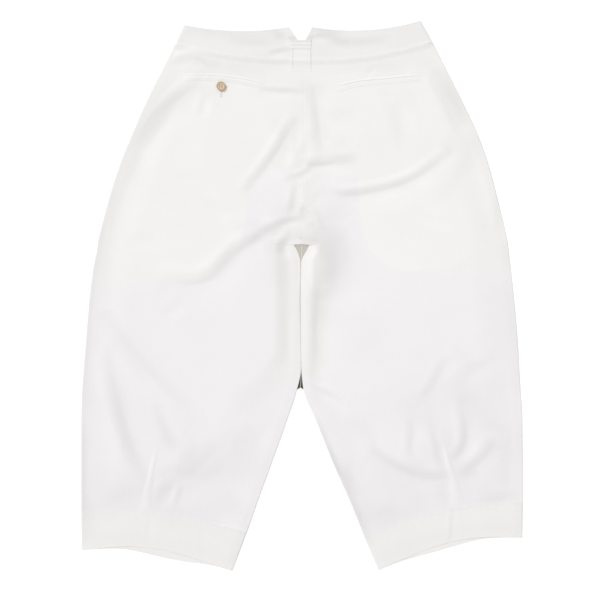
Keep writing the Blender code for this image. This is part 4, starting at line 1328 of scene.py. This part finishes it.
def cotton(name, tone, backed_and_shade_tone=None, threads=3200.0, relief=1.0):
    """Woven cotton: mottled tone and slubs in the colour, and weave, slubs and fibres in the bump.

    Where backed_and_shade_tone is given, the mark "backing" turns the colour to it: where a pocket
    bag lies behind, and as painted shade, warm beside the inseams and dark in the crotch gap. The mark
    "shade" is painted shade, which makes the tone darker by its value.
    """

    def inputs_of(tree):
        place = object_place(tree)
        weave = group_value(tree, "plain weave", Vector=place, Threads=threads)
        slub, mottle = (group_value(tree, group, Vector=place) for group in ("slub", "mottle"))
        base = (*tone, 1.0)
        if backed_and_shade_tone:
            base = blended(tree, mark_value(tree, "backing"), base, (*backed_and_shade_tone, 1.0))
        worn = blended(tree, maths(tree, "MULTIPLY", mottle, 0.06), base, darker(tone, 0.35))
        worn = blended(tree, maths(tree, "MULTIPLY", slub, 0.07), worn, (0.93, 0.92, 0.90, 1))
        height = maths(tree, "MULTIPLY", weave, 0.5)
        for part, share in ((slub, 0.9), (mottle, 0.5)):
            height = maths(tree, "ADD", height, maths(tree, "MULTIPLY", part, share))
        return {
            # Painted shade: the mark "shade" darkens the colour towards a warm near-black.
            "Base Color": blended(tree, mark_value(tree, "shade"), worn, (0.02, 0.02, 0.0, 1)),
            "Roughness": ranged(tree, mottle, end=(0.82, 0.94)),
            "Normal": bumped(tree, height, strength=0.55 * relief, distance=0.00009),
            "Sheen Weight": 0.08,
            "Sheen Roughness": 0.6,
            "Specular IOR Level": 0.25,
        }

    return material(name, inputs_of)


def leg_cotton():
    return cotton("white leg cotton", colours().cotton, backed_and_shade_tone=colours().backed_and_shade_tone)


def front_cotton():
    return cotton("white front cotton", colours().cotton, backed_and_shade_tone=colours().shaded)


def band_cotton():
    return cotton("white band cotton", colours().band, relief=1.2)


def pocketing():
    return cotton("pocketing", colours().pocketing, threads=2400.0)


def thread():
    """Twisted cotton thread: fine noise in the tone and the bump."""

    def inputs_of(tree):
        twist = noise(tree, object_place(tree), scale=2600.0, detail=1.0)
        return {
            "Base Color": blended(tree, twist, darker(colours().thread, 0.1), (*colours().thread, 1.0)),
            "Normal": bumped(tree, twist, strength=0.4, distance=0.00005),
            "Roughness": 0.7,
        }

    return material("cotton thread", inputs_of)


# Operators, one for each piece or group of like pieces


def thinned(distance):
    """How much lower the back's face is at this distance from an edge, where its cloth is thinner."""
    return EDGE_THINNER * (1 - ramp(distance / EDGE_SLOPE))


def turned_down(face, distance, radius, floor=EDGE_FLOOR):
    """A face that turns down at an edge: floor + (face - floor) times a quarter ellipse of the distance."""
    return floor + (face - floor) * round_over(distance, radius)


def leg_heights(plan, side):
    """The outer face of a back leg: the leg's face, thinned and rolled down at the side seam and the inseam.

    Above the crotch the inner edge is the centre-back seam, which only dips a little, and less towards the
    crotch. Below it the inseams turn down to the front, and to the floor where the legs part.
    """
    legs = 1 - ramp((plan.y - OUTLINE[side]["crotch corner"].inner_y + 1) / INSEAM_BEGINS)
    face = leg_face(plan.x, plan.y) - thinned(plan.outer) - legs * thinned(plan.inner)
    face = turned_down(face, plan.outer, cloth("roll"))
    on_front = cloth("leg_wall") + cloth("shell") + INSEAM_CLEAR
    apart = 1 - ramp((plan.y - LEGS_PART) / PARTING)
    rest = on_front + (EDGE_FLOOR - on_front) * apart
    seat_dip = SEAT_DIP * ramp((plan.y - SEAT_DIP_FROM) / SEAT_DIP_GROWS)
    radius = INSEAM_ROLL + (cloth("roll") - INSEAM_ROLL) * apart
    drop = seat_dip * (1 - legs) + (face - rest) * legs
    return face - drop * (1 - round_over(plan.inner, radius))


def seam_light(plan):
    """How much painted light lightens the cloth beside the hem seam: a bell shape across it."""
    return HEM_SEAM_LIGHTER * bell(plan.y - seam_height("hem seam", plan.x), HEM_SEAM_WIDTH)


class TROUSERS_OT_back_legs(bpy.types.Operator):
    """Makes the two back legs, with their folds and the print of the pocket bags"""

    bl_idname = "trousers.back_legs"
    bl_label = "Back Legs"

    def execute(self, context):
        step = cloth("grid") * 1
        for name, side in SIDES.items():
            plan = plan_between(side, "waist seam", "hem seam", step, edge=cloth("roll"))
            # Painted shade: the greys, darker over the hem seam and below the waist seam, lighter along the
            # hem seam.
            blouse = ramp(1 - (plan.y - seam_height("hem seam", plan.x)) / BLOUSE_HEIGHT)
            seam = bell(seam_height("waist seam", plan.x) - plan.y - SEAM_GREY_BELOW, RIDGE_BELOW)
            shade = shade_at(plan.x, plan.y) - seam_light(plan) + BLOUSE_DARKER * blouse + SEAM_DARKER * seam
            # The warm tint beside the inseams is painted shade; the tint of the pocket bags is their
            # show-through.
            backing = np.maximum(covered(name, plan.x, plan.y), warm_shade_mask(plan.x, plan.y))
            cloth_piece(
                f"{name}_back_leg", plan.x, plan.y, leg_heights(plan, side), cloth("shell"), leg_cotton(),
                [f"back_{name}"], bevel=0.1,
                marks={"backing": backing, "shade": shade},
            )
        return {"FINISHED"}


class TROUSERS_OT_front_legs(bpy.types.Operator):
    """Makes the two front legs, which lie flat under the back and show in the crotch gap"""

    bl_idname = "trousers.front_legs"
    bl_label = "Front Legs"

    def execute(self, context):
        def inset(y):
            parted = 1 - ramp((y - LEGS_PART) / FRONT_PARTING)
            return FRONT_INSET + (FRONT_INSET_PARTED - FRONT_INSET) * parted

        for name, side in SIDES.items():

            def reach(inner_x, y, side=side):
                middle = (column(-1, "inner_x", "inner_y", y) + column(1, "inner_x", "inner_y", y)) / 2
                together = ramp((y - LEGS_PART) / FRONT_PARTING)
                return inner_x + (middle + side * FRONT_CENTRE_GAP - inner_x) * together

            plan = plan_between(
                side, "waist seam", "hem seam", step=3.6, edge=1.0,
                outer_inset=FRONT_OUTER_INSET, inner_inset=inset, reach=reach,
            )
            along, _ = plan_shares(plan)
            near_waist = ramp((plan.y - FRONT_DIP_FROM) / FRONT_DIP_GROWS)
            y = plan.y - FRONT_SEAM_DIP * along**2 * near_waist
            # Painted shade: the front is tinted dark where it shows in the crotch gap, and darker lower down.
            in_gap = ramp((GAP_REACH - plan.inner) / GAP_BLUR) * (y < GAP_TOP)
            deep = GAP_SHADE + GAP_SHADE_DEEPER * ramp((GAP_DEEPENS - y) / GAP_DEEPENING)
            cloth_piece(
                f"{name}_front_leg", plan.x, y, cloth("leg_wall"), cloth("leg_wall"), front_cotton(),
                [f"front_{name}"], marks={"backing": in_gap, "shade": in_gap * deep},
            )
        return {"FINISHED"}


class TROUSERS_OT_waistband(bpy.types.Operator):
    """Makes the waistband: two shaped halves at the back with a notch between them, and two in front"""

    bl_idname = "trousers.waistband"
    bl_label = "Waistband"

    def execute(self, context):
        wall = cloth("band_wall")
        for name, side in SIDES.items():
            top = waistband_top(side, count=60)
            rows = even_steps(0, 1, step=0.045, margin=0.016)
            x, y = loft_plan(top, waistband_foot(side, top[0]), rows)
            z = turned_down(waist_face(x, y), np.abs(x - x[:, :1]), 2 * wall, BAND_EDGE_FLOOR)
            cloth_piece(
                f"{name}_back_waistband", x, y, z, cloth("leg_wall"), band_cotton(),
                # The back waistband carries the painted shade too.
                [f"waistband_back_{name}"], marks={"shade": shade_at(x, y)},
            )
            share = np.concatenate([[0], np.linspace(0.008, 1, 24)])
            edges = []
            for section, dip, gap in (("waist top", FRONT_DIP, 0), ("waist seam", FRONT_SEAM_DIP, SEAM / 2)):
                row = OUTLINE[side][section]
                start = row.outer_x - side * FRONT_BAND_INSET
                x = start + (row.inner_x - start) * share
                along = (x - row.outer_x) / (row.inner_x - row.outer_x)
                edges.append((x, section_y(row, x) - dip * along**2 + gap))
            x, y = loft_plan(*edges, even_steps(0, 1, step=0.2, margin=0.02))
            cloth_piece(
                f"{name}_front_waistband", x, y, wall, wall, band_cotton(),
                [f"waistband_front_{name}"], bevel=0.6,
            )
        return {"FINISHED"}


class TROUSERS_OT_hem_bands(bpy.types.Operator):
    """Makes the bands round the hems, back and front"""

    bl_idname = "trousers.hem_bands"
    bl_label = "Hem Bands"

    def execute(self, context):
        wall = cloth("hem_wall")
        roll = 2 * wall
        for name, side in SIDES.items():
            plan = plan_between(side, "hem seam", "hem edge", step=2.8, edge=roll, foot_gap=0)
            z = hem_face(plan.x, plan.y)
            for distance in (plan.outer, plan.inner):
                z = turned_down(z - thinned(distance), distance, roll)
            along, down = plan_shares(plan)
            rise_from, rise_over = HEM_RISE_SHARES
            bowed = np.sin(math.pi * np.clip((along - rise_from) / rise_over, 0, 1))
            risen = HEM_EDGE_RISE[side] * bowed * down**2
            # Painted shade, a little less on the hem bands, with painted light along the hem seam.
            shade = shade_at(plan.x, plan.y) - HEM_BAND_LIGHTER - seam_light(plan)
            cloth_piece(
                f"{name}_back_hem_band", plan.x, plan.y + risen, z, cloth("shell"), band_cotton(),
                [f"hem_band_back_{name}"], bevel=0.2,
                marks={"shade": shade},
            )
            plan = plan_between(
                side, "hem seam", "hem edge", step=6, edge=2.0, foot_gap=0, outer_inset=FRONT_HEM_INSET,
                inner_inset=lambda y: np.full(y.shape, FRONT_HEM_INSET),
            )
            along, down = plan_shares(plan)
            inward = np.clip((along - SAG_START) / (1 - SAG_START), 0, 1)
            y = plan.y - FRONT_HEM_SAG[side] * np.sin(math.pi * inward) ** 2 * down
            cloth_piece(
                f"{name}_front_hem_band", plan.x, y, wall, wall, band_cotton(),
                [f"hem_band_front_{name}"], bevel=0.6,
            )
        return {"FINISHED"}


def tuck_plan(name):
    """The plan of a tuck: rows from its left to its right edge, from the tip down to the hem seam."""
    rows = TUCKS[name]
    foot_y = float(seam_height("hem seam", np.array((rows[-1].left + rows[-1].right) / 2))) + TUCK_FOOT_GAP
    y = even_steps(rows[0].y, foot_y, step=2.6)[:, None]
    left, right = (read_column(rows, edge, "y", y) for edge in ("left", "right"))
    along = np.concatenate([np.linspace(0, TUCK_CREST, 10), np.linspace(TUCK_CREST, 1, 8)[1:]])
    return left + (right - left) * along, y + 0 * along, along


class TROUSERS_OT_tucks(bpy.types.Operator):
    """Makes the pointed tuck above each hem: cloth that rises to a crest and falls to its right edge"""

    bl_idname = "trousers.tucks"
    bl_label = "Hem Tucks"

    def execute(self, context):
        for name in SIDES:
            x, y, along = tuck_plan(name)
            risen = ramp(along / TUCK_CREST) * (1 - ramp((along - TUCK_CREST) / (1 - TUCK_CREST)))
            ends = ramp((y[:1] - y) / TUCK_TIP + TUCK_TIP_SHARE) * ramp((y - y[-1:]) / TUCK_FOOT)
            z = leg_face(x, y) + TUCK_CLEAR + cloth("tuck_rise") * risen * ends
            piece = cloth_piece(
                f"{name}_hem_tuck", x, y, z, TUCK_WALL, leg_cotton(), [f"hem_tuck_{name}"],
                bevel=0,
                # The tuck carries less painted shade than the leg round it, least at its middle: a painted
                # highlight.
                marks={"shade": shade_at(x, y) * (1 - TUCK_PALER * np.sin(math.pi * along) * ends)},
            )
            sharpen_rims(piece.data, x.shape)
        return {"FINISHED"}


def slit_frame(name):
    """The places along a pocket's slit and the direction across it, towards the waist."""
    slit = curve_through(SLITS[name], count=90)
    run = np.gradient(slit, axis=0)
    return slit, np.stack([-run[:, 1], run[:, 0]], axis=1) / np.hypot(*run.T)[:, None]


def beside_slit(name, reach):
    """A line beside a pocket's slit, this far towards the waist."""
    slit, up = slit_frame(name)
    return slit + up * reach


def lip_face(x, y, share):
    """The height of the outer face of the pocket lips, which stand proud by a share of their rise."""
    return leg_face(x, y) + LIP_STEP + cloth("lip_rise") * share


class TROUSERS_OT_pockets(bpy.types.Operator):
    """Makes the lips of the back pockets and the hanging bags of the side pockets"""

    bl_idname = "trousers.pockets"
    bl_label = "Pockets"

    def execute(self, context):
        for name, side in SIDES.items():
            slit, up = slit_frame(name)
            for lip, near, far in (("upper", SEAM / 2, UPPER_LIP), ("lower", -SEAM / 2, -LOWER_LIP)):
                shares = -0.5 * np.cos(np.linspace(0, math.pi, 11)) + 0.5
                reach = near + (far - near) * shares
                x, y = (slit[None, :, k] + up[None, :, k] * reach[:, None] for k in range(2))
                falls = 1 - ramp((shares - LIP_CREST) / (1 - LIP_CREST))
                proud = LIP_SHARES[name][lip] * round_over(shares, LIP_ROLL) * falls
                steps = np.arange(len(slit))
                ends = ramp(np.minimum(steps, steps[::-1]) / LIP_ENDS)
                z = lip_face(x, y, proud[:, None] * ends)
                # Painted shade grows across the lips, from the slit outwards.
                shading = LIP_SHADING + (1 - LIP_SHADING) * shares[:, None]
                piece = cloth_piece(
                    f"{name}_{lip}_lip", x, y, z, LIP_WALL, leg_cotton(),
                    [f"welt_{name}_{lip}"], bevel=0,
                    marks={"backing": 1.0, "shade": shade_at(x, y) * shading},
                    flat=(far_along(slit)[-1], LIP_CUT),
                )
                sharpen_rims(piece.data, x.shape, rows=0)
            x, y = bag_plan(name, side)
            wall = cloth("bag_wall")
            cloth_piece(
                f"{name}_pocket_bag", x, y, cloth("leg_wall") + LAY + wall, wall, pocketing(),
                [f"pocket_bag_{name}"],
            )
        return {"FINISHED"}


def bag_plan(name, side):
    """The plan of a pocket bag: rows across it, as wide as its rounded foot lets them be."""
    bag = BAGS[name]
    foot = bag.centre_y - bag.half_length * np.sin(np.linspace(0, math.pi / 2, 33)[:-1])
    y = np.concatenate([np.linspace(BAG_TOP, bag.centre_y, 26)[:-1], foot])
    down = np.clip((bag.centre_y - y) / bag.half_length, 0, 1) ** bag.squareness
    half_width = bag.half_width * (1 - down) ** (1 / bag.squareness)
    seam = np.abs(edge_x("outer", np.full(y.shape, float(side)), y)) - BAG_INSET
    outer_x = np.minimum(abs(bag.centre_x) + half_width, seam)
    inner_x = abs(bag.centre_x) - half_width
    along = np.linspace(0, 1, 25)
    x = side * (outer_x[:, None] + (inner_x - outer_x)[:, None] * along)
    return x, y[:, None] + 0 * along


def loop_face(x, y):
    """The height of the outer face of the belt loop, which is flat across: over the band and the seat, with
    a low arch along it."""
    across = LOOP_CENTRE + np.linspace(-0.5, 0.5, 9) * LOOP_WIDTH
    flat_y = np.ravel(y)
    spread_x, spread_y = np.meshgrid(across, flat_y)
    on_band = spread_y > seam_height("waist seam", spread_x) - LOOP_LEAVES_BAND
    under = np.where(on_band, waist_face(spread_x, spread_y), leg_face(spread_x, spread_y))
    below = under.max(axis=1).reshape(np.shape(y))
    down = (LOOP_TOP - y) / (LOOP_TOP - LOOP_FOOT)
    proud = cloth("loop_rise") * (1 - ramp((down - LOOP_SINKS) / (1 - LOOP_SINKS)))
    return below + LOOP_CLEAR + proud + LOOP_ARCH * np.sin(math.pi * np.clip(down, 0, 1)) ** 2


class TROUSERS_OT_belt_loop(bpy.types.Operator):
    """Makes the wide belt loop that bridges the notch at the centre back"""

    bl_idname = "trousers.belt_loop"
    bl_label = "Belt Loop"

    def execute(self, context):
        down = even_steps(LOOP_TOP, LOOP_FOOT, step=0.7, margin=0.3)[:, None]
        across = np.linspace(-0.5, 0.5, 47)
        across = LOOP_CENTRE + LOOP_WIDTH * (across - 0.02 * np.sin(2 * math.pi * across))
        x, y = np.broadcast_arrays(across[None, :], down)
        aside = x - LOOP_CENTRE
        waver = LOOP_WAVER * np.sin(y / 6.5) * np.sign(aside) * (np.abs(aside) > LOOP_WIDTH * 0.45)
        from_edge = LOOP_WIDTH / 2 - np.abs(aside)
        body = ramp((LOOP_CREASES[-1] + 2 - y) / 3)
        crease_depth, crease_width = LOOP_CREASE
        hollows = sum(crease_depth * bell(y - crease, crease_width) for crease in LOOP_CREASES)
        hollows += sum(body * depth * bell(x - at, LOOP_CHANNEL_WIDTH) for at, depth in LOOP_CHANNELS)
        flat = loop_face(x[:, :1], y[:, :1])
        onto_seat = ramp((LOOP_FOOT + LOOP_SEAT_TOP - y) / 10)
        z = flat + (leg_face(x, y) + LOOP_CLEAR - flat) * onto_seat
        z = z - (LOOP_EDGE_DROP * (1 - round_over(from_edge, LOOP_ROLL)) + hollows) * (1 - onto_seat)
        # Painted shade: a little darker, more in the creases and channels, and the seat's own towards the
        # foot.
        foot = ramp((LOOP_FOOT + LOOP_PALE_FOOT - y) / LOOP_PALE_FOOT)
        shade = (LOOP_DARKER + HOLLOW_DARKER * hollows) * (1 - foot) + shade_at(x, y) * foot
        piece = cloth_piece(
            "centre_back_belt_loop", x + waver, y, z, LOOP_WALL, leg_cotton(),
            ["belt_loop"], bevel=0,
            marks={"backing": 1.0, "shade": shade},
        )
        sharpen_rims(piece.data, x.shape, columns=0)
        return {"FINISHED"}


class TROUSERS_OT_fly(bpy.types.Operator):
    """Makes the fly shield behind the centre-front opening"""

    bl_idname = "trousers.fly"
    bl_label = "Fly Shield"

    def execute(self, context):
        y = even_steps(FLY_TOP, FLY_FOOT, step=5)[:, None]
        rounding = 1 - np.clip((FLY_FOOT + FLY_ROUND - y) / FLY_ROUND, 0, 1) ** 2
        width = FLY_HALF_WIDTH * (1 + FLY_FOOT_SHARE + (1 - FLY_FOOT_SHARE) * np.sqrt(rounding))
        x = -FLY_HALF_WIDTH + width * np.linspace(0, 1, 9)
        wall = cloth("leg_wall")
        cloth_piece(
            "fly_shield_strip", x, y + 0 * x, 2 * wall + LAY, wall, front_cotton(),
            ["fly_shield"],
        )
        return {"FINISHED"}


# The button


def button_place():
    """The middle of the button, its underside's height, its radius and its thickness, in millimetres."""
    low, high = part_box("button")
    middle = (low + high) / 2 / MM
    return middle.x, middle.y, low.z / MM, (high.x - low.x) / 2 / MM, (high.z - low.z) / MM


def horn():
    """Polished corozo: a darker rim, a paler face, and fine rings and flecks round the middle."""

    def inputs_of(tree):
        x, y, base, radius, _ = button_place()
        to_centre = {"Vector": object_place(tree), "Location": (-x * MM, -y * MM, -base * MM)}
        centred = add_node(tree, "ShaderNodeMapping", to_centre)[0]
        parts = add_node(tree, "ShaderNodeSeparateXYZ", {0: centred})
        squares = [maths(tree, "MULTIPLY", parts[axis], parts[axis]) for axis in ("X", "Y")]
        away = maths(tree, "SQRT", maths(tree, "ADD", *squares))
        rim = ranged(tree, away, (radius * 0.55 * MM, radius * 0.92 * MM))
        grain = noise(tree, centred, scale=700.0, detail=4.0)
        tone = blended(tree, rim, (*colours().horn_face, 1.0), (*colours().horn, 1.0))
        flecks = ranged(tree, grain, (0.45, 1.0), (0.0, 0.5))
        return {
            "Base Color": blended(tree, flecks, tone, darker(colours().horn, 0.4)),
            "Roughness": ranged(tree, grain, end=(0.28, 0.5)),
            "Normal": bumped(tree, grain, strength=0.15, distance=0.0001),
        }

    return material("button corozo", inputs_of)


def button_mesh(radius, thick):
    """A turned button: each ring of points has a radius and a height, and the face sinks at four holes.

    The height of a ring is a profile: flat underneath, a round edge, a raised rim and a dished face.
    """
    rim = radius - 1.5
    profile = [(0.001, 0), (radius - 1.6, 0), (radius - 0.5, 0.35), (radius, 0.9), (radius, thick - 0.9)]
    profile += [
        (radius - 0.3 + 0.3 * math.cos(a), thick - 0.6 + 0.6 * math.sin(a))
        for a in np.linspace(0.2, math.pi / 2, 5)
    ]
    profile += [(radius - 0.7, thick), (rim + 0.3, thick - 0.15), (rim, thick - 0.45)]
    profile += [(rim - 0.4, thick - 0.72)]
    profile += [(r, thick - 0.8) for r in np.linspace(rim - 0.8, 0.15, 20)] + [(0.001, thick - 0.8)]
    profile = np.array(profile)
    turns = np.linspace(0, 2 * math.pi, 73)[:-1]
    x = profile[:, :1] * np.cos(turns)
    y = profile[:, :1] * np.sin(turns)
    z = profile[:, 1:] + 0 * x
    on_face = (profile[:, 0] < rim - 0.3) & (profile[:, 1] > 1)
    for turn in HOLE_TURNS:
        away = np.hypot(x - HOLE_REACH * math.cos(turn), y - HOLE_REACH * math.sin(turn))
        z = np.where(on_face[:, None], z - HOLE_DEPTH * ramp((HOLE_RADIUS - away) / 0.35), z)
    rows, columns = x.shape
    points = np.stack([x, y, z], axis=-1).reshape(-1, 3)
    corner = np.arange(rows * columns).reshape(rows, columns)
    after = np.roll(corner, -1, axis=1)
    faces = np.stack([corner[:-1], after[:-1], after[1:], corner[1:]], axis=-1).reshape(-1, 4)
    caps = [tuple(corner[0][::-1]), tuple(corner[-1])]
    return points, [tuple(face) for face in faces] + caps


class TROUSERS_OT_button(bpy.types.Operator):
    """Makes the button of the left back pocket, the thread that holds it and its buttonhole"""

    bl_idname = "trousers.button"
    bl_label = "Button"

    def execute(self, context):
        x, y, base, radius, thick = button_place()
        points, faces = button_mesh(radius, thick)
        mesh = mesh_from("pocket_button", points + (x, y, base), faces)
        mesh.set_sharp_from_angle(angle=math.radians(50))
        add_piece("pocket_button", mesh, horn(), ["button"])
        self.sew_on(x, y, base + thick)
        self.work_buttonhole(x, y)
        return {"FINISHED"}

    def sew_on(self, x, y, top):
        """Two pairs of threads across the face of the button, from hole to hole."""
        holes = np.stack([x + HOLE_REACH * np.cos(HOLE_TURNS), y + HOLE_REACH * np.sin(HOLE_TURNS)], axis=1)
        starts, ends = (
            np.array([(*(holes[k] + (0, shift)), top - SEWN_DEPTH) for k in pair for shift in SEWN_SHIFTS])
            for pair in ((0, 3), (1, 2))
        )
        threads_between("button_thread", starts, ends, BUTTONHOLE_THREAD, "button")

    def work_buttonhole(self, x, y):
        """A row of close threads down each side of a vertical slit, and a bar across each end."""
        low, high = y - BUTTONHOLE_LENGTH, y + BUTTONHOLE_ABOVE
        places = np.arange(low, high, BUTTONHOLE_PITCH)
        starts, ends = [], []
        for way in (-1, 1):
            near, far = x + way * BUTTONHOLE_SLIT, x + way * BUTTONHOLE_REACH
            starts.append(np.stack([np.full(places.shape, near), places], axis=1))
            ends.append(np.stack([np.full(places.shape, far), places + BUTTONHOLE_LEAN], axis=1))
        for bar_y in (low, low - BAR_PITCH, low - 2 * BAR_PITCH, high, high + BAR_PITCH):
            starts.append(np.array([[x - BAR_REACH, bar_y]]))
            ends.append(np.array([[x + BAR_REACH, bar_y]]))
        starts, ends = np.concatenate(starts), np.concatenate(ends)
        raised = [
            np.column_stack([spots, leg_face(*spots.T) + BUTTONHOLE_RISE]) for spots in (starts, ends)
        ]
        threads_between("buttonhole_threads", *raised, BUTTONHOLE_THREAD)


# Stitching


def seam_line(side, name, shift, start, stop):
    """A line along a named section, moved up by a shift, between two shares of its length."""
    section = OUTLINE[side][name]
    x = section.outer_x + (section.inner_x - section.outer_x) * np.linspace(start, stop, 120)
    return np.stack([x, section_y(section, x) + shift], axis=1)


def straight_line(x0, y0, x1, y1, count=30):
    """A straight line between two places."""
    along = np.linspace(0, 1, count)[:, None]
    return np.array([[x0, y0]]) * (1 - along) + np.array([[x1, y1]]) * along


def notch_line(side, inset):
    """A line beside the top edge and the notch of a half of the waistband, this far inside."""
    section = OUTLINE[side]["waist top"]
    corner = side * (NOTCH_HALF_WIDTH[side] + inset * 0.8)
    x = np.linspace(section.outer_x - side * 3, corner, 90)
    top = np.stack([x, section_y(section._replace(inner_x=side * NOTCH_HALF_WIDTH[side]), x) - inset], axis=1)
    foot = straight_line(*top[-1], side * inset * 1.3, section.inner_y - NOTCH_DEPTH - inset * 0.4, 20)
    return top, foot


class TROUSERS_OT_stitching(bpy.types.Operator):
    """Sews the visible rows of stitches: bands, centre-back seam, pockets, belt loop and the front"""

    bl_idname = "trousers.stitching"
    bl_label = "Stitching"

    def execute(self, context):
        self.sew_waist()
        self.sew_seat()
        self.sew_pockets()
        self.sew_loop()
        self.sew_hems()
        self.sew_front()
        return {"FINISHED"}

    def sew_waist(self):
        rows = []
        for side in SIDES.values():
            rows += [(line, waist_face) for line in notch_line(side, 2.0)]
            rows.append((seam_line(side, "waist seam", shift=1.6, start=0.015, stop=0.93), waist_face))
            rows.append((seam_line(side, "waist seam", shift=-5.5, start=0.02, stop=0.915), leg_face))
        add_stitches("waistband_stitches", rows)

    def sew_seat(self):
        rows = [
            (straight_line(x, LOOP_FOOT - LOOP_SEWN_INSET, x, foot, count=120), leg_face)
            for x, foot in SEAT_ROWS
        ]
        add_stitches("seat_seam_stitches", rows)

    def sew_pockets(self):
        rows = []
        for name in SIDES:
            rows.append((beside_slit(name, UPPER_LIP + LIP_STITCHES), leg_face))
            rows.append((beside_slit(name, -LOWER_LIP - LIP_STITCHES), leg_face))
        add_stitches("pocket_stitches", rows)

    def sew_loop(self):
        def sunk(x, y):
            return loop_face(x, y) - LOOP_SEWN_DEPTH

        left = LOOP_CENTRE - LOOP_WIDTH / 2 + LOOP_SEWN_INSET
        right = LOOP_CENTRE + LOOP_WIDTH / 2 - LOOP_SEWN_INSET
        foot = LOOP_FOOT + LOOP_SEWN_INSET
        rows = [(straight_line(left, y, right, y), sunk) for y in LOOP_CREASES]
        rows += [(straight_line(x, LOOP_CREASES[-1], x, foot), sunk) for x, _ in LOOP_CHANNELS]
        add_stitches("belt_loop_stitches", rows)

    def sew_hems(self):
        rows = []
        for side in SIDES.values():
            rows.append((seam_line(side, "hem seam", shift=-1.8, start=0.02, stop=0.98), hem_face))
        add_stitches("hem_band_stitches", rows)

    def sew_front(self):
        def underside(x, y):
            return np.zeros(np.shape(x))

        rows = []
        for side in SIDES.values():
            rows.append((seam_line(side, "hem seam", shift=-1.8, start=0.02, stop=0.98), underside))
            for name, dip, shift in (("waist seam", FRONT_SEAM_DIP, 1.8), ("waist top", FRONT_DIP, -2.0)):
                start, stop = FRONT_SEWN_SHARES
                line = seam_line(side, name, shift, start, stop)
                along = np.linspace(start, stop, len(line))
                rows.append((line - np.stack([0 * along, dip * along**2], axis=1), underside))
        turn = np.linspace(0, math.pi / 2, 20)
        bend_x = FLY_SEWN_X - FLY_BEND_WIDTH * (1 - np.cos(turn))
        bend = np.stack([bend_x, FLY_BEND - FLY_BEND_DROP * np.sin(turn)], axis=1)
        fly = np.concatenate([straight_line(FLY_SEWN_X, FLY_SEWN_TOP, FLY_SEWN_X, FLY_BEND + 1), bend])
        rows += [(fly, underside), (fly - (FLY_ROW_GAP, 0), underside)]
        add_stitches("front_stitches", rows, under=True)


# The stage


class TROUSERS_OT_stage(bpy.types.Operator):
    """Makes the pale floor, the soft lights and the camera above the garment"""

    bl_idname = "trousers.stage"
    bl_label = "Stage"

    def execute(self, context):
        scene = context.scene
        studio = scene.trousers_studio
        self.floor(scene, studio)
        self.lights(scene, studio)
        self.camera(scene, studio)
        return {"FINISHED"}

    def floor(self, scene, studio):
        def inputs_of(tree):
            haze = noise(tree, object_place(tree), scale=3.0, detail=2.0)
            return {
                "Base Color": blended(tree, haze, darker(colours().floor, 0.008), (*colours().floor, 1.0)),
                "Roughness": 0.95,
                "Specular IOR Level": 0.0,
                "Emission Color": (1, 1, 1, 1),
                "Emission Strength": studio.glow,
            }

        half, below = 15000, -0.5
        corners = [(-half, -half, below), (half, -half, below), (half, half, below), (-half, half, below)]
        mesh = mesh_from("studio_floor", corners, [(0, 1, 2, 3)])
        mesh.materials.append(material("studio floor", inputs_of))
        floor = bpy.data.objects.new("studio_floor", mesh)
        scene.collection.objects.link(floor)

    def lights(self, scene, studio):
        world = bpy.data.worlds.new("studio world")
        world.use_nodes = True
        tree = world.node_tree
        feed(tree, tree.nodes["Background"], {"Color": (1, 1, 1, 1), "Strength": studio.fill})
        scene.world = world
        light = bpy.data.lights.new("key light", "SUN")
        light.angle = math.radians(30)
        light.energy = studio.key
        key = bpy.data.objects.new("key light", light)
        key.location = (-1.55, 1.45, 2.6)
        key.rotation_euler = (-key.location).to_track_quat("-Z", "Y").to_euler()
        scene.collection.objects.link(key)
        scene.view_settings.view_transform = "Standard"

    def camera(self, scene, studio):
        lens = bpy.data.cameras.new("camera")
        lens.sensor_width = 36
        lens.lens = 36 * studio.camera_height / studio.view_width
        lens.clip_end = 100
        camera = bpy.data.objects.new("camera", lens)
        camera.location = (-0.003, -0.0075, studio.camera_height)
        scene.collection.objects.link(camera)
        scene.camera = camera


class TROUSERS_PT_panel(bpy.types.Panel):
    """Lists the settings and the pieces of the trousers"""

    bl_label = "Cropped Trousers"
    bl_idname = "TROUSERS_PT_panel"
    bl_space_type = "VIEW_3D"
    bl_region_type = "UI"
    bl_category = "Trousers"

    def draw(self, context):
        for group_name, group in PROPERTY_GROUPS.items():
            box = self.layout.box()
            box.label(text=group_name.replace("_", " ").capitalize())
            for name in group.__annotations__:
                box.prop(getattr(context.scene, group_name), name)
        for operator in OPERATORS:
            self.layout.operator(operator.bl_idname)


OPERATORS = (
    TROUSERS_OT_stage,
    TROUSERS_OT_front_legs,
    TROUSERS_OT_back_legs,
    TROUSERS_OT_waistband,
    TROUSERS_OT_hem_bands,
    TROUSERS_OT_tucks,
    TROUSERS_OT_pockets,
    TROUSERS_OT_belt_loop,
    TROUSERS_OT_fly,
    TROUSERS_OT_button,
    TROUSERS_OT_stitching,
)


def register():
    for made in (*PROPERTY_GROUPS.values(), *OPERATORS, TROUSERS_PT_panel):
        bpy.utils.register_class(made)
    for name, group in PROPERTY_GROUPS.items():
        setattr(bpy.types.Scene, name, PointerProperty(type=group))


def unregister():
    for name in PROPERTY_GROUPS:
        delattr(bpy.types.Scene, name)
    for made in reversed((*PROPERTY_GROUPS.values(), *OPERATORS, TROUSERS_PT_panel)):
        bpy.utils.unregister_class(made)


def main():
    register()
    for operator in OPERATORS:
        group, name = operator.bl_idname.split(".")
        getattr(getattr(bpy.ops, group), name)()


if __name__ == "__main__":
    main()
